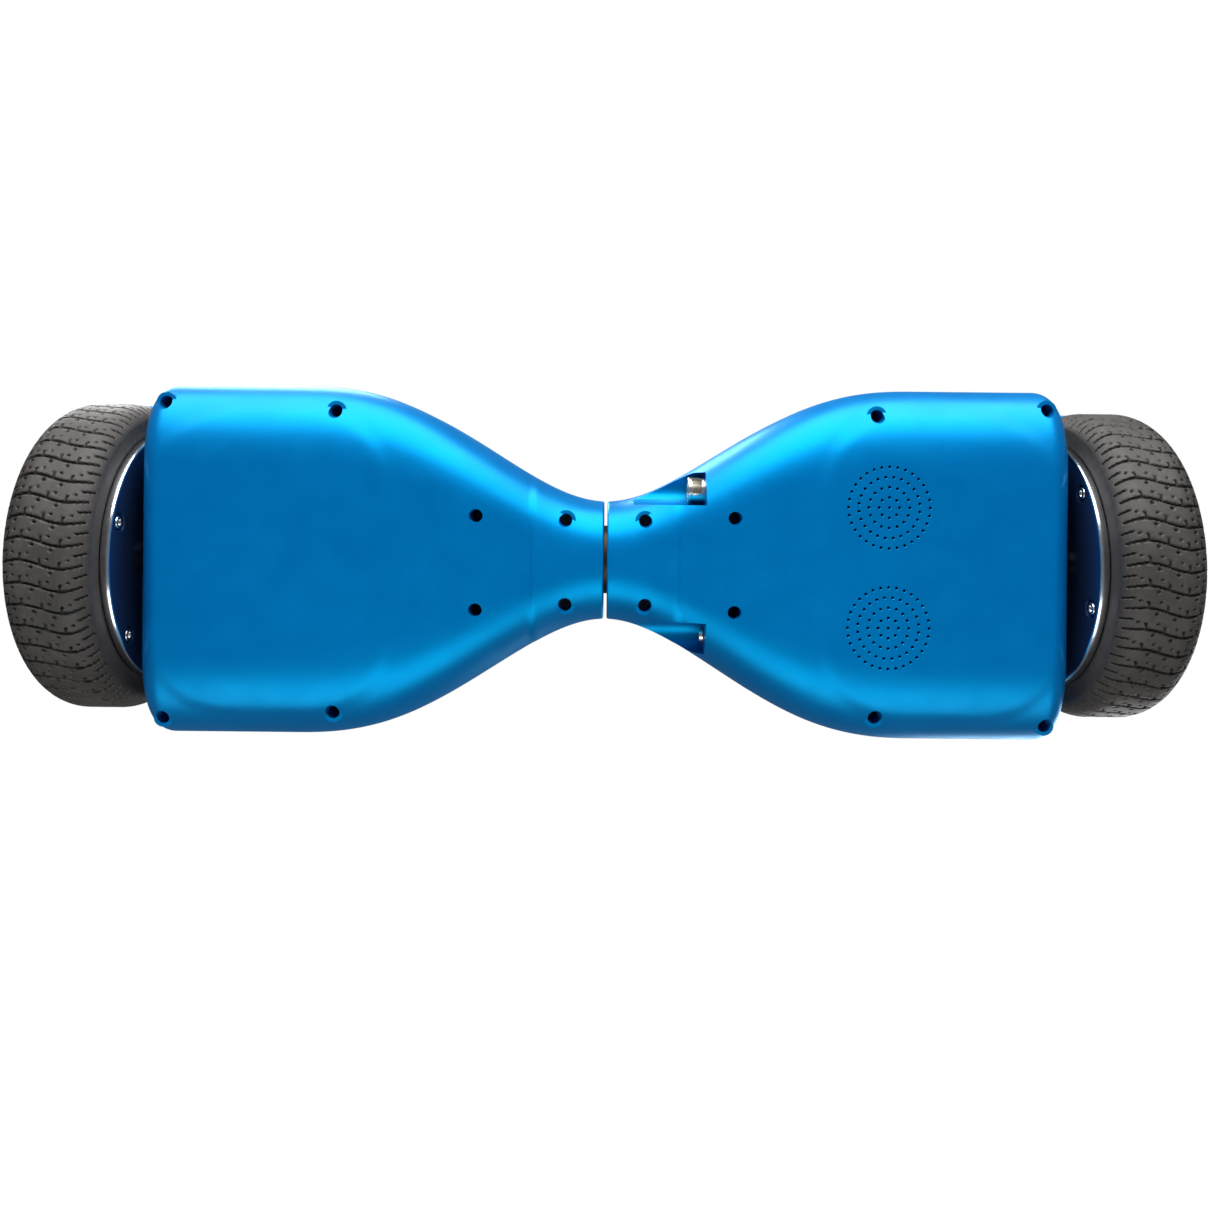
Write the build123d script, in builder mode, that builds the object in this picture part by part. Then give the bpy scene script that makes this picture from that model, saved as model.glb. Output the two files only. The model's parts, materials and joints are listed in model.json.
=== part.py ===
from build123d import *
import math
import os

# Self balancing hoverboard: two half bodies on a centre shaft, with a hub-motor wheel at each outer end.
# X runs along the board, +X to the half with the speakers; Y is front to back, with the charge socket on
# the -Y side; Z is up. The origin is on the ground under the middle. Everything is in millimetres.

# ---- driving dimensions -------------------------------------------------------------------------------
half_length = 292.0          # centre of the board to the tyre's outer side
tyre_radius = 84.0           # also the height of the axle above the ground
tyre_width = 42.0
tread_flat = 16.0            # width of the flat band round the middle of the tread
rim_radius = 68.0            # outer radius of the rim's polished flange
rim_wall = 9.0               # radial thickness of the rim's drum
body_half_depth = 93.6       # half of the body's front-to-back size at the deck
flare_length = 165.0         # the neck has opened out to the full deck this far from the centre
bottom_height = 32.0         # underside of the deck above the ground
deck_above_axle = 34.0
wall = 3.0                   # thickness of the plastic covers
gap_half = 0.9               # half of the gap between the two halves
axle_radius = 7.5
pivot_radius = 12.5          # outside of the hollow centre shaft
neck_room_aside = 20.1       # from the shaft to the neck's front and rear sides
neck_room_below = 21.0       # from the shaft to the neck's underside
neck_room_above = 20.5
running_clearance = 0.05     # radial clearance of shafts in bearings
screw_radius = 1.5
fender_clearance = 9.0       # from the tyre to the fender's outside
battery_size = (90.0, 135.0, 40.0)
speaker_radius = 25.0

# ---- places worked out from them ----------------------------------------------------------------------
axle_height = tyre_radius
neck_half_depth = pivot_radius + neck_room_aside
neck_below_axle = pivot_radius + neck_room_below
neck_above_axle = pivot_radius + neck_room_above
neck_bottom = axle_height - neck_below_axle
neck_top = axle_height + neck_above_axle
deck_height = axle_height + deck_above_axle
fender_radius = tyre_radius + fender_clearance
wheel_inner = half_length - tyre_width               # inner side of the tyre
hub_inner = wheel_inner - 5.0                        # inner face of the rim
hub_outer = half_length - 1.0
body_end = hub_inner - 5.5                           # outer end of the covers
drum_inner_radius = rim_radius - 3.0 - rim_wall
drum_start = hub_inner + 3.5
drum_end = hub_outer - 3.5

flange_width = 5.0
cover_gap = 0.3                                      # hub covers stand back from the flange's face
magnet_depth = 3.0
air_gap = 0.7
stator_radius = drum_inner_radius - magnet_depth - air_gap
bearing_radius = axle_radius + 8.5
bearing_width = 9.0
hub_boss_radius = bearing_radius + 3.0
inner_bearing_start = hub_inner + 1.5
outer_bearing_end = hub_outer - 1.5
stator_start = inner_bearing_start + bearing_width + 1.5
stator_end = outer_bearing_end - bearing_width - 1.5
tooth_count = 27
magnet_count = 30
slot_width = 5.0
hub_screw_circle = rim_radius - 8.5
hub_screw_count = 6
hub_screw_phase = 19.0                               # degrees from straight down, toward +Y
left_wheel_turn = 22.0                               # the left wheel rests turned by this much

plate_bottom = axle_height
plate_thickness = 5.0
plate_top = plate_bottom + plate_thickness
plate_clearance = 1.5                                # between the frame plate and the covers
collar_length = 48.0
collar_start = 1.5
bush_length = 12.0
bush_radius = pivot_radius + 3.5
collar_radius = bush_radius + 3.0
pivot_bore = pivot_radius - 3.0
pin_radius = 2.5
pin_place = 24.0
pivot_limit = 12.0                                   # degrees each way

post_radius = 5.0
upper_post_radius = 3.2
head_recess_radius = 3.35
head_seat = axle_height - 16.0                       # where the cover screws' heads bear
post_shoulder = head_seat + 3.0
screw_tip = plate_top + 10.0
head_radius = 2.8
head_height = 2.2
deck_screw_inset = 10.5                              # outermost screws from the covers' outer end
deck_screw_side = 11.6                               # and from the body's side
flare_screw_side = 15.6                              # the third pair, from the deck's side
neck_screw_side = collar_radius + 3.5
screw_places = [
    (21.0, neck_screw_side),
    (67.0, 24.4),
    (140.0, body_half_depth - flare_screw_side),
    (body_end - deck_screw_inset, body_half_depth - deck_screw_side),
]

bottom_corner = 26.0
top_corner = 20.0
neck_corner = 31.0
belly_length = 115.0
end_round = 9.0

pocket_start = 15.0
pocket_end = 53.0
pocket_side = neck_half_depth - 1.6
pocket_roof = axle_height - 10.0
socket_place = (pocket_side + 8.0, axle_height - 22.5)      # distance from the middle, height
socket_radius = 6.9
socket_bore = 5.6
socket_length = 9.0
button_radius = 3.75
switch_radius = 4.6
button_travel = 1.5
button_proud = 2.5

speaker_x = 144.5
speaker_y = 30.7
grille_hole_radius = 0.75
grille_pitch = 5.2

mat_start = 95.0
mat_full = 128.0
mat_end_gap = 29.0                                   # from the mat to the covers' outer end
mat_thickness = 3.5
mat_proud = 2.0
mat_clearance = 0.5
mat_travel = 1.5
mat_peg_radius = 3.0
mat_peg_places = [(150.0, 18.0), (150.0, -18.0)]
mat_edge_inset = 25.0                                # from the body's side to the mat's side
mat_neck_half = 48.0
mat_corner = 10.0

AXLE = Axis((0, 0, axle_height), (1, 0, 0))


def smooth_step(t):
    """Ease from 0 to 1 with no slope at either end."""
    t = min(max(t, 0.0), 1.0)
    return t * t * (3 - 2 * t)


def half_depth(x):
    """Half of the body's front-to-back size at a distance x from the centre."""
    t = 1 - (1 - min(x / flare_length, 1.0)) ** 1.3
    return neck_half_depth + (body_half_depth - neck_half_depth) * smooth_step(t)


def underside(x):
    """Height of the body's underside at a distance x from the centre."""
    return neck_bottom + (bottom_height - neck_bottom) * smooth_step(x / belly_length)


def upper_side(x):
    """Height of the body's upper side at a distance x from the centre."""
    return neck_top + (deck_height - neck_top) * smooth_step(x / belly_length)


def axle_plane(x):
    """A plane across the axle, with its own x along +Y and its own y along +Z."""
    return Plane(origin=(x, 0, axle_height), x_dir=(0, 1, 0), z_dir=(1, 0, 0))


def body_section(x, inset):
    """One cross-section of the body, near round at the neck and a rounded box at the deck."""
    low = underside(x) + inset
    high = upper_side(x) - inset
    side = half_depth(x) - inset
    blend = smooth_step(x / flare_length)
    low_round = neck_corner + (bottom_corner - neck_corner) * blend - inset
    high_round = neck_corner + (top_corner - neck_corner) * blend - inset
    fits = min(side, (high - low) / 2) - 0.5
    with BuildSketch(Plane.YZ.offset(x)) as section:
        with Locations((0, (low + high) / 2)):
            Rectangle(2 * side, high - low)
        fillet(section.vertices().group_by(Axis.Y)[0], min(low_round, fits))
        fillet(section.vertices().group_by(Axis.Y)[-1], min(high_round, fits))
    return section.sketch


def plan_outline(start, end, inset, steps=7):
    """Plan of the body between two stations, moved in from its sides."""
    places = [start + (flare_length - start) * i / steps for i in range(steps + 1)]
    rear = [(x, half_depth(x) - inset) for x in places]
    front = [(x, -y) for x, y in reversed(rear)]
    with BuildSketch() as outline:
        with BuildLine():
            Spline(*rear)
            Polyline(rear[-1], (end, rear[-1][1]), (end, -rear[-1][1]), front[0])
            Spline(*front)
            Line(front[-1], rear[0])
        make_face()
    return outline.sketch


def save(piece, name):
    """Label one piece and write its file."""
    piece.part.label = name
    export_step(piece.part, f"parts/{name}.step")


def save_pair(piece, name, turn=0.0):
    """Write the right-hand piece, and its mirror image for the left half."""
    save(piece, f"right_{name}")
    with BuildPart() as left_piece:
        add(mirror(piece.part, about=Plane.YZ, mode=Mode.PRIVATE).rotate(AXLE, turn))
    save(left_piece, f"left_{name}")


os.makedirs("parts", exist_ok=True)

# ---- covers -------------------------------------------------------------------------------------------
stations = [flare_length * i / 9 for i in range(1, 9)] + [0.97 * flare_length, flare_length]

with BuildPart() as outer_body:
    for x in [gap_half] + stations:
        add(body_section(x, 0.0))
    loft()
    add(body_section(flare_length, 0.0))
    extrude(amount=body_end - flare_length, dir=(1, 0, 0))
    fillet(outer_body.faces().sort_by(Axis.X)[-1].edges(), end_round)

with BuildPart() as inner_body:
    for x in [gap_half + wall] + stations:
        add(body_section(x, wall))
    loft()
    add(body_section(flare_length, wall))
    extrude(amount=body_end - wall - flare_length, dir=(1, 0, 0))
    fillet(inner_body.faces().sort_by(Axis.X)[-1].edges(), end_round - wall)

with BuildPart() as end_openings:
    with BuildSketch(axle_plane(0)):
        Circle(collar_radius + 0.5)
    extrude(amount=gap_half + wall + 1)
    with BuildSketch(axle_plane(body_end - wall - 1)):
        Circle(axle_radius + 1.5)
    extrude(amount=wall + 2)

with BuildPart() as lower_cavity:
    add(inner_body.part)
    split(bisect_by=Plane.XY.offset(axle_height), keep=Keep.BOTTOM)
    with BuildSketch(Plane.XY):
        with Locations(*[(x, s * y) for x, y in screw_places for s in (-1, 1)]):
            Circle(post_radius)
    extrude(amount=post_shoulder, mode=Mode.SUBTRACT)
    with BuildSketch(Plane.XY.offset(post_shoulder)):
        with Locations(*[(x, s * y) for x, y in screw_places for s in (-1, 1)]):
            Circle(upper_post_radius)
    extrude(amount=axle_height - post_shoulder, mode=Mode.SUBTRACT)

plateau_start = 110.0
plateau_end = body_end - 6.0
plateau_half = body_half_depth - 21.6
plateau_height = 1.5
with BuildPart() as bottom_cover:
    add(outer_body.part)
    split(bisect_by=Plane.XY.offset(axle_height), keep=Keep.BOTTOM)
    with BuildSketch(Plane.XY.offset(bottom_height - plateau_height)):
        with Locations(((plateau_start + plateau_end) / 2, 0)):
            RectangleRounded(plateau_end - plateau_start, 2 * plateau_half, 40.0)
    extrude(amount=plateau_height + wall / 2)
    add(lower_cavity.part, mode=Mode.SUBTRACT)
    add(end_openings.part, mode=Mode.SUBTRACT)
    with BuildSketch(Plane.XY):
        with Locations(*[(x, s * y) for x, y in screw_places for s in (-1, 1)]):
            Circle(head_recess_radius)
    extrude(amount=head_seat, mode=Mode.SUBTRACT)
    with BuildSketch(Plane.XY.offset(head_seat)):
        with Locations(*[(x, s * y) for x, y in screw_places for s in (-1, 1)]):
            Circle(screw_radius)
    extrude(amount=axle_height - head_seat, mode=Mode.SUBTRACT)

with BuildPart() as pocket_walls:
    with BuildSketch(Plane.XY):
        for s in (-1, 1):
            with Locations(((pocket_start + pocket_end + wall) / 2, s * (pocket_side + 20.0))):
                Rectangle(pocket_end + wall - pocket_start, 40.0 + 2 * wall)
    extrude(amount=pocket_roof + wall)
    add(outer_body.part, mode=Mode.INTERSECT)

with BuildPart() as pockets:
    with BuildSketch(Plane.XY):
        for s in (-1, 1):
            with Locations(((pocket_start + pocket_end) / 2, s * (pocket_side + 25.0))):
                Rectangle(pocket_end - pocket_start, 50.0)
    extrude(amount=pocket_roof)

socket_y, socket_z = socket_place
socket_plane = Plane(origin=(pocket_end, -socket_y, socket_z), x_dir=(0, 1, 0), z_dir=(-1, 0, 0))
button_plane = Plane(origin=(pocket_end, socket_y, socket_z), x_dir=(0, 1, 0), z_dir=(-1, 0, 0))
grille_rings = [(1, 0.0, 0.0), (8, 1.0, 0.0), (16, 2.0, 0.0), (24, 3.0, 7.5), (32, 4.0, 0.0)]
with BuildPart() as right_bottom_cover:
    add(bottom_cover.part)
    add(pocket_walls.part)
    add(pockets.part, mode=Mode.SUBTRACT)
    with BuildSketch(socket_plane):
        Circle(socket_radius)
    extrude(amount=-wall - 1, mode=Mode.SUBTRACT)
    with BuildSketch(button_plane):
        Circle(switch_radius)
    extrude(amount=-wall - 1, mode=Mode.SUBTRACT)
    with BuildSketch(Plane.XY):
        for s in (-1, 1):
            with Locations((speaker_x, s * speaker_y)):
                for count, step, turn in grille_rings:
                    with PolarLocations(step * grille_pitch, count, start_angle=turn):
                        Circle(grille_hole_radius)
    extrude(amount=bottom_height + wall + 1, mode=Mode.SUBTRACT)
save(right_bottom_cover, "right_bottom_cover")

with BuildPart() as left_bottom_cover:
    add(mirror(bottom_cover.part, about=Plane.YZ, mode=Mode.PRIVATE))
save(left_bottom_cover, "left_bottom_cover")

# foot mats sit in a pocket of the top cover and press down on the rider sensors
mat_end = body_end - mat_end_gap
mat_side = body_half_depth - mat_edge_inset
mat_floor = deck_height - mat_thickness + mat_proud - mat_travel
floor_thickness = 2.5


def mat_outline(grow):
    """Plan of a foot mat, wider at the deck than toward the neck."""
    with BuildSketch() as outline:
        with BuildLine():
            Polyline(
                (mat_start - grow, -mat_neck_half - grow / 2),
                (mat_full, -mat_side - grow),
                (mat_end + grow, -mat_side - grow),
                (mat_end + grow, mat_side + grow),
                (mat_full, mat_side + grow),
                (mat_start - grow, mat_neck_half + grow / 2),
                close=True,
            )
        make_face()
        fillet(outline.vertices(), mat_corner + grow)
    return outline.sketch


with BuildPart() as foot_mat:
    with BuildSketch(Plane.XY.offset(mat_floor + mat_travel)):
        add(mat_outline(0.0))
    extrude(amount=mat_thickness)
    chamfer(foot_mat.faces().sort_by(Axis.Z)[-1].edges(), 0.8)
    with BuildSketch(Plane.XY.offset(mat_floor + mat_travel)):
        with Locations(*mat_peg_places):
            Circle(mat_peg_radius)
    extrude(amount=-(mat_floor + mat_travel - plate_top - 11.0))
save_pair(foot_mat, "foot_mat")

lens_start = flare_length
lens_length = 46.0
lens_height = 7.0
lens_z = plate_top + 4.6
status_x = 35.0
status_length = 24.0
status_width = 14.0

with BuildPart() as upper_cavity:
    add(inner_body.part)
    split(bisect_by=Plane.XY.offset(axle_height), keep=Keep.TOP)
    with BuildSketch(Plane.XY.offset(plate_top)):
        with Locations(*[(x, s * y) for x, y in screw_places for s in (-1, 1)]):
            Circle(upper_post_radius)
    extrude(amount=deck_height, mode=Mode.SUBTRACT)
    with BuildSketch(Plane.XY.offset(mat_floor - floor_thickness)):
        add(mat_outline(wall))
    extrude(amount=deck_height, mode=Mode.SUBTRACT)

fender_start = body_end - 17.0
fender_end = half_length - 6.0
fender_low = deck_above_axle                         # the fender's rim ends level with the deck
with BuildPart() as top_cover:
    add(outer_body.part)
    split(bisect_by=Plane.XY.offset(axle_height), keep=Keep.TOP)
    add(upper_cavity.part, mode=Mode.SUBTRACT)
    # arch over the wheel, closed toward the rider by a wall
    with BuildSketch(axle_plane(fender_start)):
        Circle(fender_radius)
        Circle(fender_radius - wall, mode=Mode.SUBTRACT)
        with Locations((0, fender_low - fender_radius)):
            Rectangle(3 * fender_radius, 2 * fender_radius, mode=Mode.SUBTRACT)
    extrude(amount=fender_end - fender_start)
    with BuildSketch(axle_plane(fender_start)):
        Circle(fender_radius)
        with Locations((0, fender_low - wall - fender_radius)):
            Rectangle(3 * fender_radius, 2 * fender_radius, mode=Mode.SUBTRACT)
    extrude(amount=wall)
    add(end_openings.part, mode=Mode.SUBTRACT)
    with BuildSketch(Plane.XY.offset(mat_floor)):
        add(mat_outline(mat_clearance))
    extrude(amount=deck_height, mode=Mode.SUBTRACT)
    with BuildSketch(Plane.XY.offset(mat_floor - floor_thickness - 1)):
        with Locations(*mat_peg_places):
            Circle(mat_peg_radius + 1.0)
    extrude(amount=floor_thickness + 2, mode=Mode.SUBTRACT)
    with BuildSketch(Plane.XY.offset(plate_top)):
        with Locations(*[(x, s * y) for x, y in screw_places for s in (-1, 1)]):
            Circle(screw_radius)
    extrude(amount=screw_tip - plate_top, mode=Mode.SUBTRACT)
    with BuildSketch(Plane.XZ.offset(body_half_depth - wall - 1)):
        with Locations((lens_start + lens_length / 2, lens_z)):
            RectangleRounded(lens_length, lens_height, 2.0)
    extrude(amount=wall + 2, mode=Mode.SUBTRACT)

with BuildPart() as left_top_cover:
    add(mirror(top_cover.part, about=Plane.YZ, mode=Mode.PRIVATE))
save(left_top_cover, "left_top_cover")

with BuildPart() as right_top_cover:
    add(top_cover.part)
    with BuildSketch(Plane.XY.offset(neck_top - wall - 1)):
        with Locations((status_x, 0)):
            RectangleRounded(status_length, status_width, 2.0)
    extrude(amount=wall + 3, mode=Mode.SUBTRACT)
save(right_top_cover, "right_top_cover")

# ---- lights -------------------------------------------------------------------------------------------
with BuildPart() as headlight_lens:
    with BuildSketch(Plane.XZ.offset(body_half_depth - wall - 1.5)):
        with Locations((lens_start + lens_length / 2, lens_z)):
            RectangleRounded(lens_length + 4, lens_height + 1.0, 2.0)
    extrude(amount=1.5)
    with BuildSketch(Plane.XZ.offset(body_half_depth - wall)):
        with Locations((lens_start + lens_length / 2, lens_z)):
            RectangleRounded(lens_length - 0.2, lens_height - 0.2, 1.9)
    extrude(amount=wall - 0.3)
save_pair(headlight_lens, "headlight_lens")

with BuildPart() as headlight_board:
    with BuildSketch(Plane.XZ.offset(body_half_depth - wall - 3.1)):
        with Locations((lens_start + lens_length / 2, lens_z)):
            Rectangle(lens_length + 2, lens_height + 1)
    extrude(amount=1.6)
    with BuildSketch(Plane.XZ.offset(body_half_depth - wall - 4.1)):
        with Locations((lens_start + lens_length / 2, lens_z)):
            with GridLocations(9.0, 1.0, 5, 1):
                Rectangle(3.5, 3.5)
    extrude(amount=1.0)
save_pair(headlight_board, "headlight_board")

with BuildPart() as status_lens:
    with BuildSketch(Plane.XY.offset(neck_top - wall)):
        with Locations((status_x, 0)):
            RectangleRounded(status_length - 0.2, status_width - 0.2, 1.9)
    extrude(amount=wall)
    with BuildSketch(Plane.XY.offset(neck_top - wall - 1.2)):
        with Locations((status_x, 0)):
            RectangleRounded(status_length + 4, status_width + 2, 2.0)
    extrude(amount=1.2)
save(status_lens, "status_lens")

# ---- frame --------------------------------------------------------------------------------------------
seat_start = body_end - 48.0
seat_end = body_end - 6.0
seat_half = 22.0
seat_bolts = [(x, y) for x in (seat_start + 9, seat_end - 9) for y in (-15.0, 15.0)]
bolt_radius = 3.0
seat_height = axle_radius + 4.0
clamp_bottom = axle_height - axle_radius - 5.5
web_place = 15.0
web_thickness = 4.0
web_length = 52.0
plate_start = 30.0
board_corners = [(x, y) for x in (92.0, 178.0) for y in (-44.0, 44.0)]

with BuildPart() as frame:
    with BuildSketch(Plane.XY.offset(plate_bottom)):
        add(plan_outline(plate_start, body_end - wall - plate_clearance, wall + plate_clearance))
    extrude(amount=plate_thickness)
    with BuildSketch(Plane.XY.offset(plate_bottom)):
        with Locations(((seat_start + seat_end) / 2, 0)):
            Rectangle(seat_end - seat_start, 2 * seat_half)
    extrude(amount=seat_height)
    with BuildSketch(axle_plane(collar_start)):
        Circle(collar_radius)
    extrude(amount=collar_length - collar_start)
    for s in (-1, 1):
        with BuildSketch(Plane.XY.offset(axle_height - 12.0)):
            with Locations((plate_start + web_length / 2, s * web_place)):
                Rectangle(web_length, web_thickness)
        extrude(amount=12.0)
    with BuildSketch(Plane.XY.offset(plate_bottom)):
        with Locations(*[(x, s * y) for x, y in screw_places[:1] for s in (-1, 1)]):
            Circle(upper_post_radius)
        with Locations((screw_places[0][0] + 6, 0)):
            Rectangle(18.0, 2 * screw_places[0][1] + 2)
    extrude(amount=plate_thickness)
    with BuildSketch(axle_plane(seat_start)):
        Circle(axle_radius)
    extrude(amount=seat_end - seat_start + 10, mode=Mode.SUBTRACT)
    with BuildSketch(Plane.XY.offset(plate_bottom)):
        with Locations(*[(x, s * y) for x, y in screw_places for s in (-1, 1)]):
            Circle(screw_radius)
    extrude(amount=plate_thickness, mode=Mode.SUBTRACT)
    with BuildSketch(Plane.XY.offset(plate_bottom)):
        with Locations(*seat_bolts):
            Circle(bolt_radius)
    extrude(amount=seat_height, mode=Mode.SUBTRACT)

with BuildPart() as right_frame:
    add(frame.part)
    with BuildSketch(axle_plane(collar_start)):
        Circle(bush_radius)
    extrude(amount=collar_length - collar_start + 6, mode=Mode.SUBTRACT)
    with BuildSketch(axle_plane(pin_place - pin_radius - 0.5)):
        with Locations((0, -collar_radius)):
            Rectangle(2 * 7.2, 12.0)
    extrude(amount=2 * pin_radius + 1, mode=Mode.SUBTRACT)
    with BuildSketch(Plane.XY.offset(plate_bottom - 2.4)):
        with Locations(*board_corners):
            Circle(4.0)
    extrude(amount=2.4)
    with BuildSketch(Plane.XY.offset(plate_bottom - 2.4)):
        with Locations(*board_corners):
            Circle(screw_radius)
    extrude(amount=plate_thickness, mode=Mode.SUBTRACT)
save(right_frame, "right_frame")

strap_width = 12.0
strap_thickness = 1.5
strap_places = (-118.0, -162.0)
strap_bolt_side = battery_size[1] / 2 + 6.5
strap_screws = [(x, s * strap_bolt_side) for x in strap_places for s in (-1, 1)]

with BuildPart() as left_frame:
    add(mirror(frame.part, about=Plane.YZ, mode=Mode.PRIVATE))
    with BuildSketch(axle_plane(-collar_length)):
        Circle(pivot_radius)
    extrude(amount=collar_length - collar_start, mode=Mode.SUBTRACT)
    with BuildSketch(Plane.XY.offset(plate_bottom)):
        with Locations(*strap_screws):
            Circle(screw_radius)
    extrude(amount=plate_thickness, mode=Mode.SUBTRACT)
save(left_frame, "left_frame")

with BuildPart() as axle_clamp:
    with BuildSketch(Plane.XY.offset(clamp_bottom)):
        with Locations(((seat_start + seat_end) / 2, 0)):
            RectangleRounded(seat_end - seat_start, 2 * seat_half, 3.0)
    extrude(amount=axle_height - clamp_bottom)
    with BuildSketch(axle_plane(seat_start - 1)):
        Circle(axle_radius)
    extrude(amount=seat_end - seat_start + 2, mode=Mode.SUBTRACT)
    with BuildSketch(Plane.XY.offset(clamp_bottom)):
        with Locations(*seat_bolts):
            Circle(bolt_radius)
    extrude(amount=axle_height - clamp_bottom, mode=Mode.SUBTRACT)
save_pair(axle_clamp, "axle_clamp")

with BuildPart() as axle_clamp_bolts:
    with BuildSketch(Plane.XY.offset(clamp_bottom - 5.0)):
        with Locations(*seat_bolts):
            Circle(5.0)
            RegularPolygon(2.9, 6, mode=Mode.SUBTRACT)
    extrude(amount=3.0)
    with BuildSketch(Plane.XY.offset(clamp_bottom - 2.0)):
        with Locations(*seat_bolts):
            Circle(5.0)
    extrude(amount=2.0)
    with BuildSketch(Plane.XY.offset(clamp_bottom)):
        with Locations(*seat_bolts):
            Circle(bolt_radius)
    extrude(amount=axle_height - clamp_bottom + seat_height)
save_pair(axle_clamp_bolts, "axle_clamp_bolts")

with BuildPart() as cover_screws:
    for x, y in [(x, s * y) for x, y in screw_places for s in (-1, 1)]:
        with BuildSketch(Plane.XY.offset(head_seat - head_height)):
            with Locations((x, y)):
                Circle(head_radius)
                Rectangle(0.8, 3.0, mode=Mode.SUBTRACT)
                Rectangle(3.0, 0.8, mode=Mode.SUBTRACT)
        extrude(amount=head_height - 0.8)
        with BuildSketch(Plane.XY.offset(head_seat - 0.8)):
            with Locations((x, y)):
                Circle(head_radius)
        extrude(amount=0.8)
        with BuildSketch(Plane.XY.offset(head_seat)):
            with Locations((x, y)):
                Circle(screw_radius)
        extrude(amount=screw_tip - head_seat)
save_pair(cover_screws, "cover_screws")

# ---- centre pivot -------------------------------------------------------------------------------------
with BuildPart() as pivot_shaft:
    with BuildSketch(axle_plane(-collar_length)):
        Circle(pivot_radius)
        Circle(pivot_bore, mode=Mode.SUBTRACT)
    extrude(amount=2 * collar_length + 2.0)
    with BuildSketch(axle_plane(collar_length - 0.6)):
        Circle(pivot_radius + 1)
        Circle(pivot_radius - 0.8, mode=Mode.SUBTRACT)
    extrude(amount=1.2, mode=Mode.SUBTRACT)
    with BuildSketch(Plane.XY.offset(axle_height)):
        with Locations((pin_place, 0)):
            Circle(pin_radius)
    extrude(amount=-pivot_radius - 1, mode=Mode.SUBTRACT)
save(pivot_shaft, "pivot_shaft")

with BuildPart() as limit_pin:
    with BuildSketch(Plane.XY.offset(axle_height - pivot_bore)):
        with Locations((pin_place, 0)):
            Circle(pin_radius)
    extrude(amount=-(collar_radius - pivot_bore - 0.5))
save(limit_pin, "limit_pin")

with BuildPart() as pivot_circlip:
    with BuildSketch(axle_plane(collar_length - 0.6)):
        Circle(pivot_radius + 2.2)
        Circle(pivot_radius - 0.8, mode=Mode.SUBTRACT)
        with Locations((0, pivot_radius)):
            Rectangle(5.0, 8.0, mode=Mode.SUBTRACT)
    extrude(amount=1.2)
save(pivot_circlip, "pivot_circlip")

with BuildPart() as pivot_bushes:
    for x in (collar_start, collar_length - bush_length - 1.2):
        with BuildSketch(axle_plane(x)):
            Circle(bush_radius)
            Circle(pivot_radius + running_clearance, mode=Mode.SUBTRACT)
        extrude(amount=bush_length)
save(pivot_bushes, "pivot_bushes")

# ---- hub motor and wheel ------------------------------------------------------------------------------
with BuildPart() as axle:
    with BuildSketch(axle_plane(seat_start)):
        Circle(axle_radius)
    extrude(amount=outer_bearing_end - 1 - seat_start)
    with BuildSketch(axle_plane(seat_start)):
        Circle(axle_radius - 3.0)
    extrude(amount=stator_start - seat_start - 3, mode=Mode.SUBTRACT)
    chamfer(axle.faces().sort_by(Axis.X)[-1].edges(), 1.0)
save_pair(axle, "axle")

with BuildPart() as stator:
    with BuildSketch(axle_plane(stator_start)):
        Circle(stator_radius)
        Circle(axle_radius, mode=Mode.SUBTRACT)
        with PolarLocations(stator_radius - 5.0, tooth_count):
            Rectangle(12.0, slot_width, mode=Mode.SUBTRACT)
        with PolarLocations((stator_radius - 11) / 2 + 5, 6):
            Circle(6.0, mode=Mode.SUBTRACT)
    extrude(amount=stator_end - stator_start)
save_pair(stator, "stator")

coil_middle = stator_radius - 5.9
coil_width = 2 * math.pi * (coil_middle - 4.5) / tooth_count - 0.4
with BuildPart() as windings:
    with BuildSketch(axle_plane(stator_start - 2.0)):
        with PolarLocations(coil_middle, tooth_count, start_angle=180 / tooth_count):
            Rectangle(9.0, coil_width)
    extrude(amount=stator_end - stator_start + 4.0)
    add(stator.part, mode=Mode.SUBTRACT)
save_pair(windings, "windings")

shoulder_radius = rim_radius + 0.6 * (tyre_radius - rim_radius) - 1.6
tyre_bead = rim_radius + 0.3
half_width = tyre_width / 2
with BuildPart() as tyre:
    with BuildSketch(Plane.XZ):
        tread_middle = wheel_inner + half_width
        shoulder = [
            (
                tread_flat / 2 + (half_width - tread_flat / 2) * u,
                axle_height + shoulder_radius
                + (tyre_radius - shoulder_radius) * (1 - u ** 2.1) ** 0.625,
            )
            for u in [0.0, 0.3, 0.6, 0.82, 0.95, 1.0]
        ]
        inner_side = [(tread_middle - x, z) for x, z in reversed(shoulder)]
        outer_side = [(tread_middle + x, z) for x, z in shoulder]
        with BuildLine():
            Spline(*inner_side)
            Line(inner_side[-1], outer_side[0])
            Spline(*outer_side)
            Polyline(
                outer_side[-1],
                (half_length, axle_height + tyre_bead),
                (hub_outer - flange_width, axle_height + tyre_bead),
                (hub_outer - flange_width, axle_height + rim_radius - 3.0),
                (wheel_inner, axle_height + rim_radius - 3.0),
                (wheel_inner, axle_height + tyre_bead),
                inner_side[0],
            )
        make_face()
    revolve(axis=AXLE)
save_pair(tyre, "tyre", left_wheel_turn)

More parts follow.
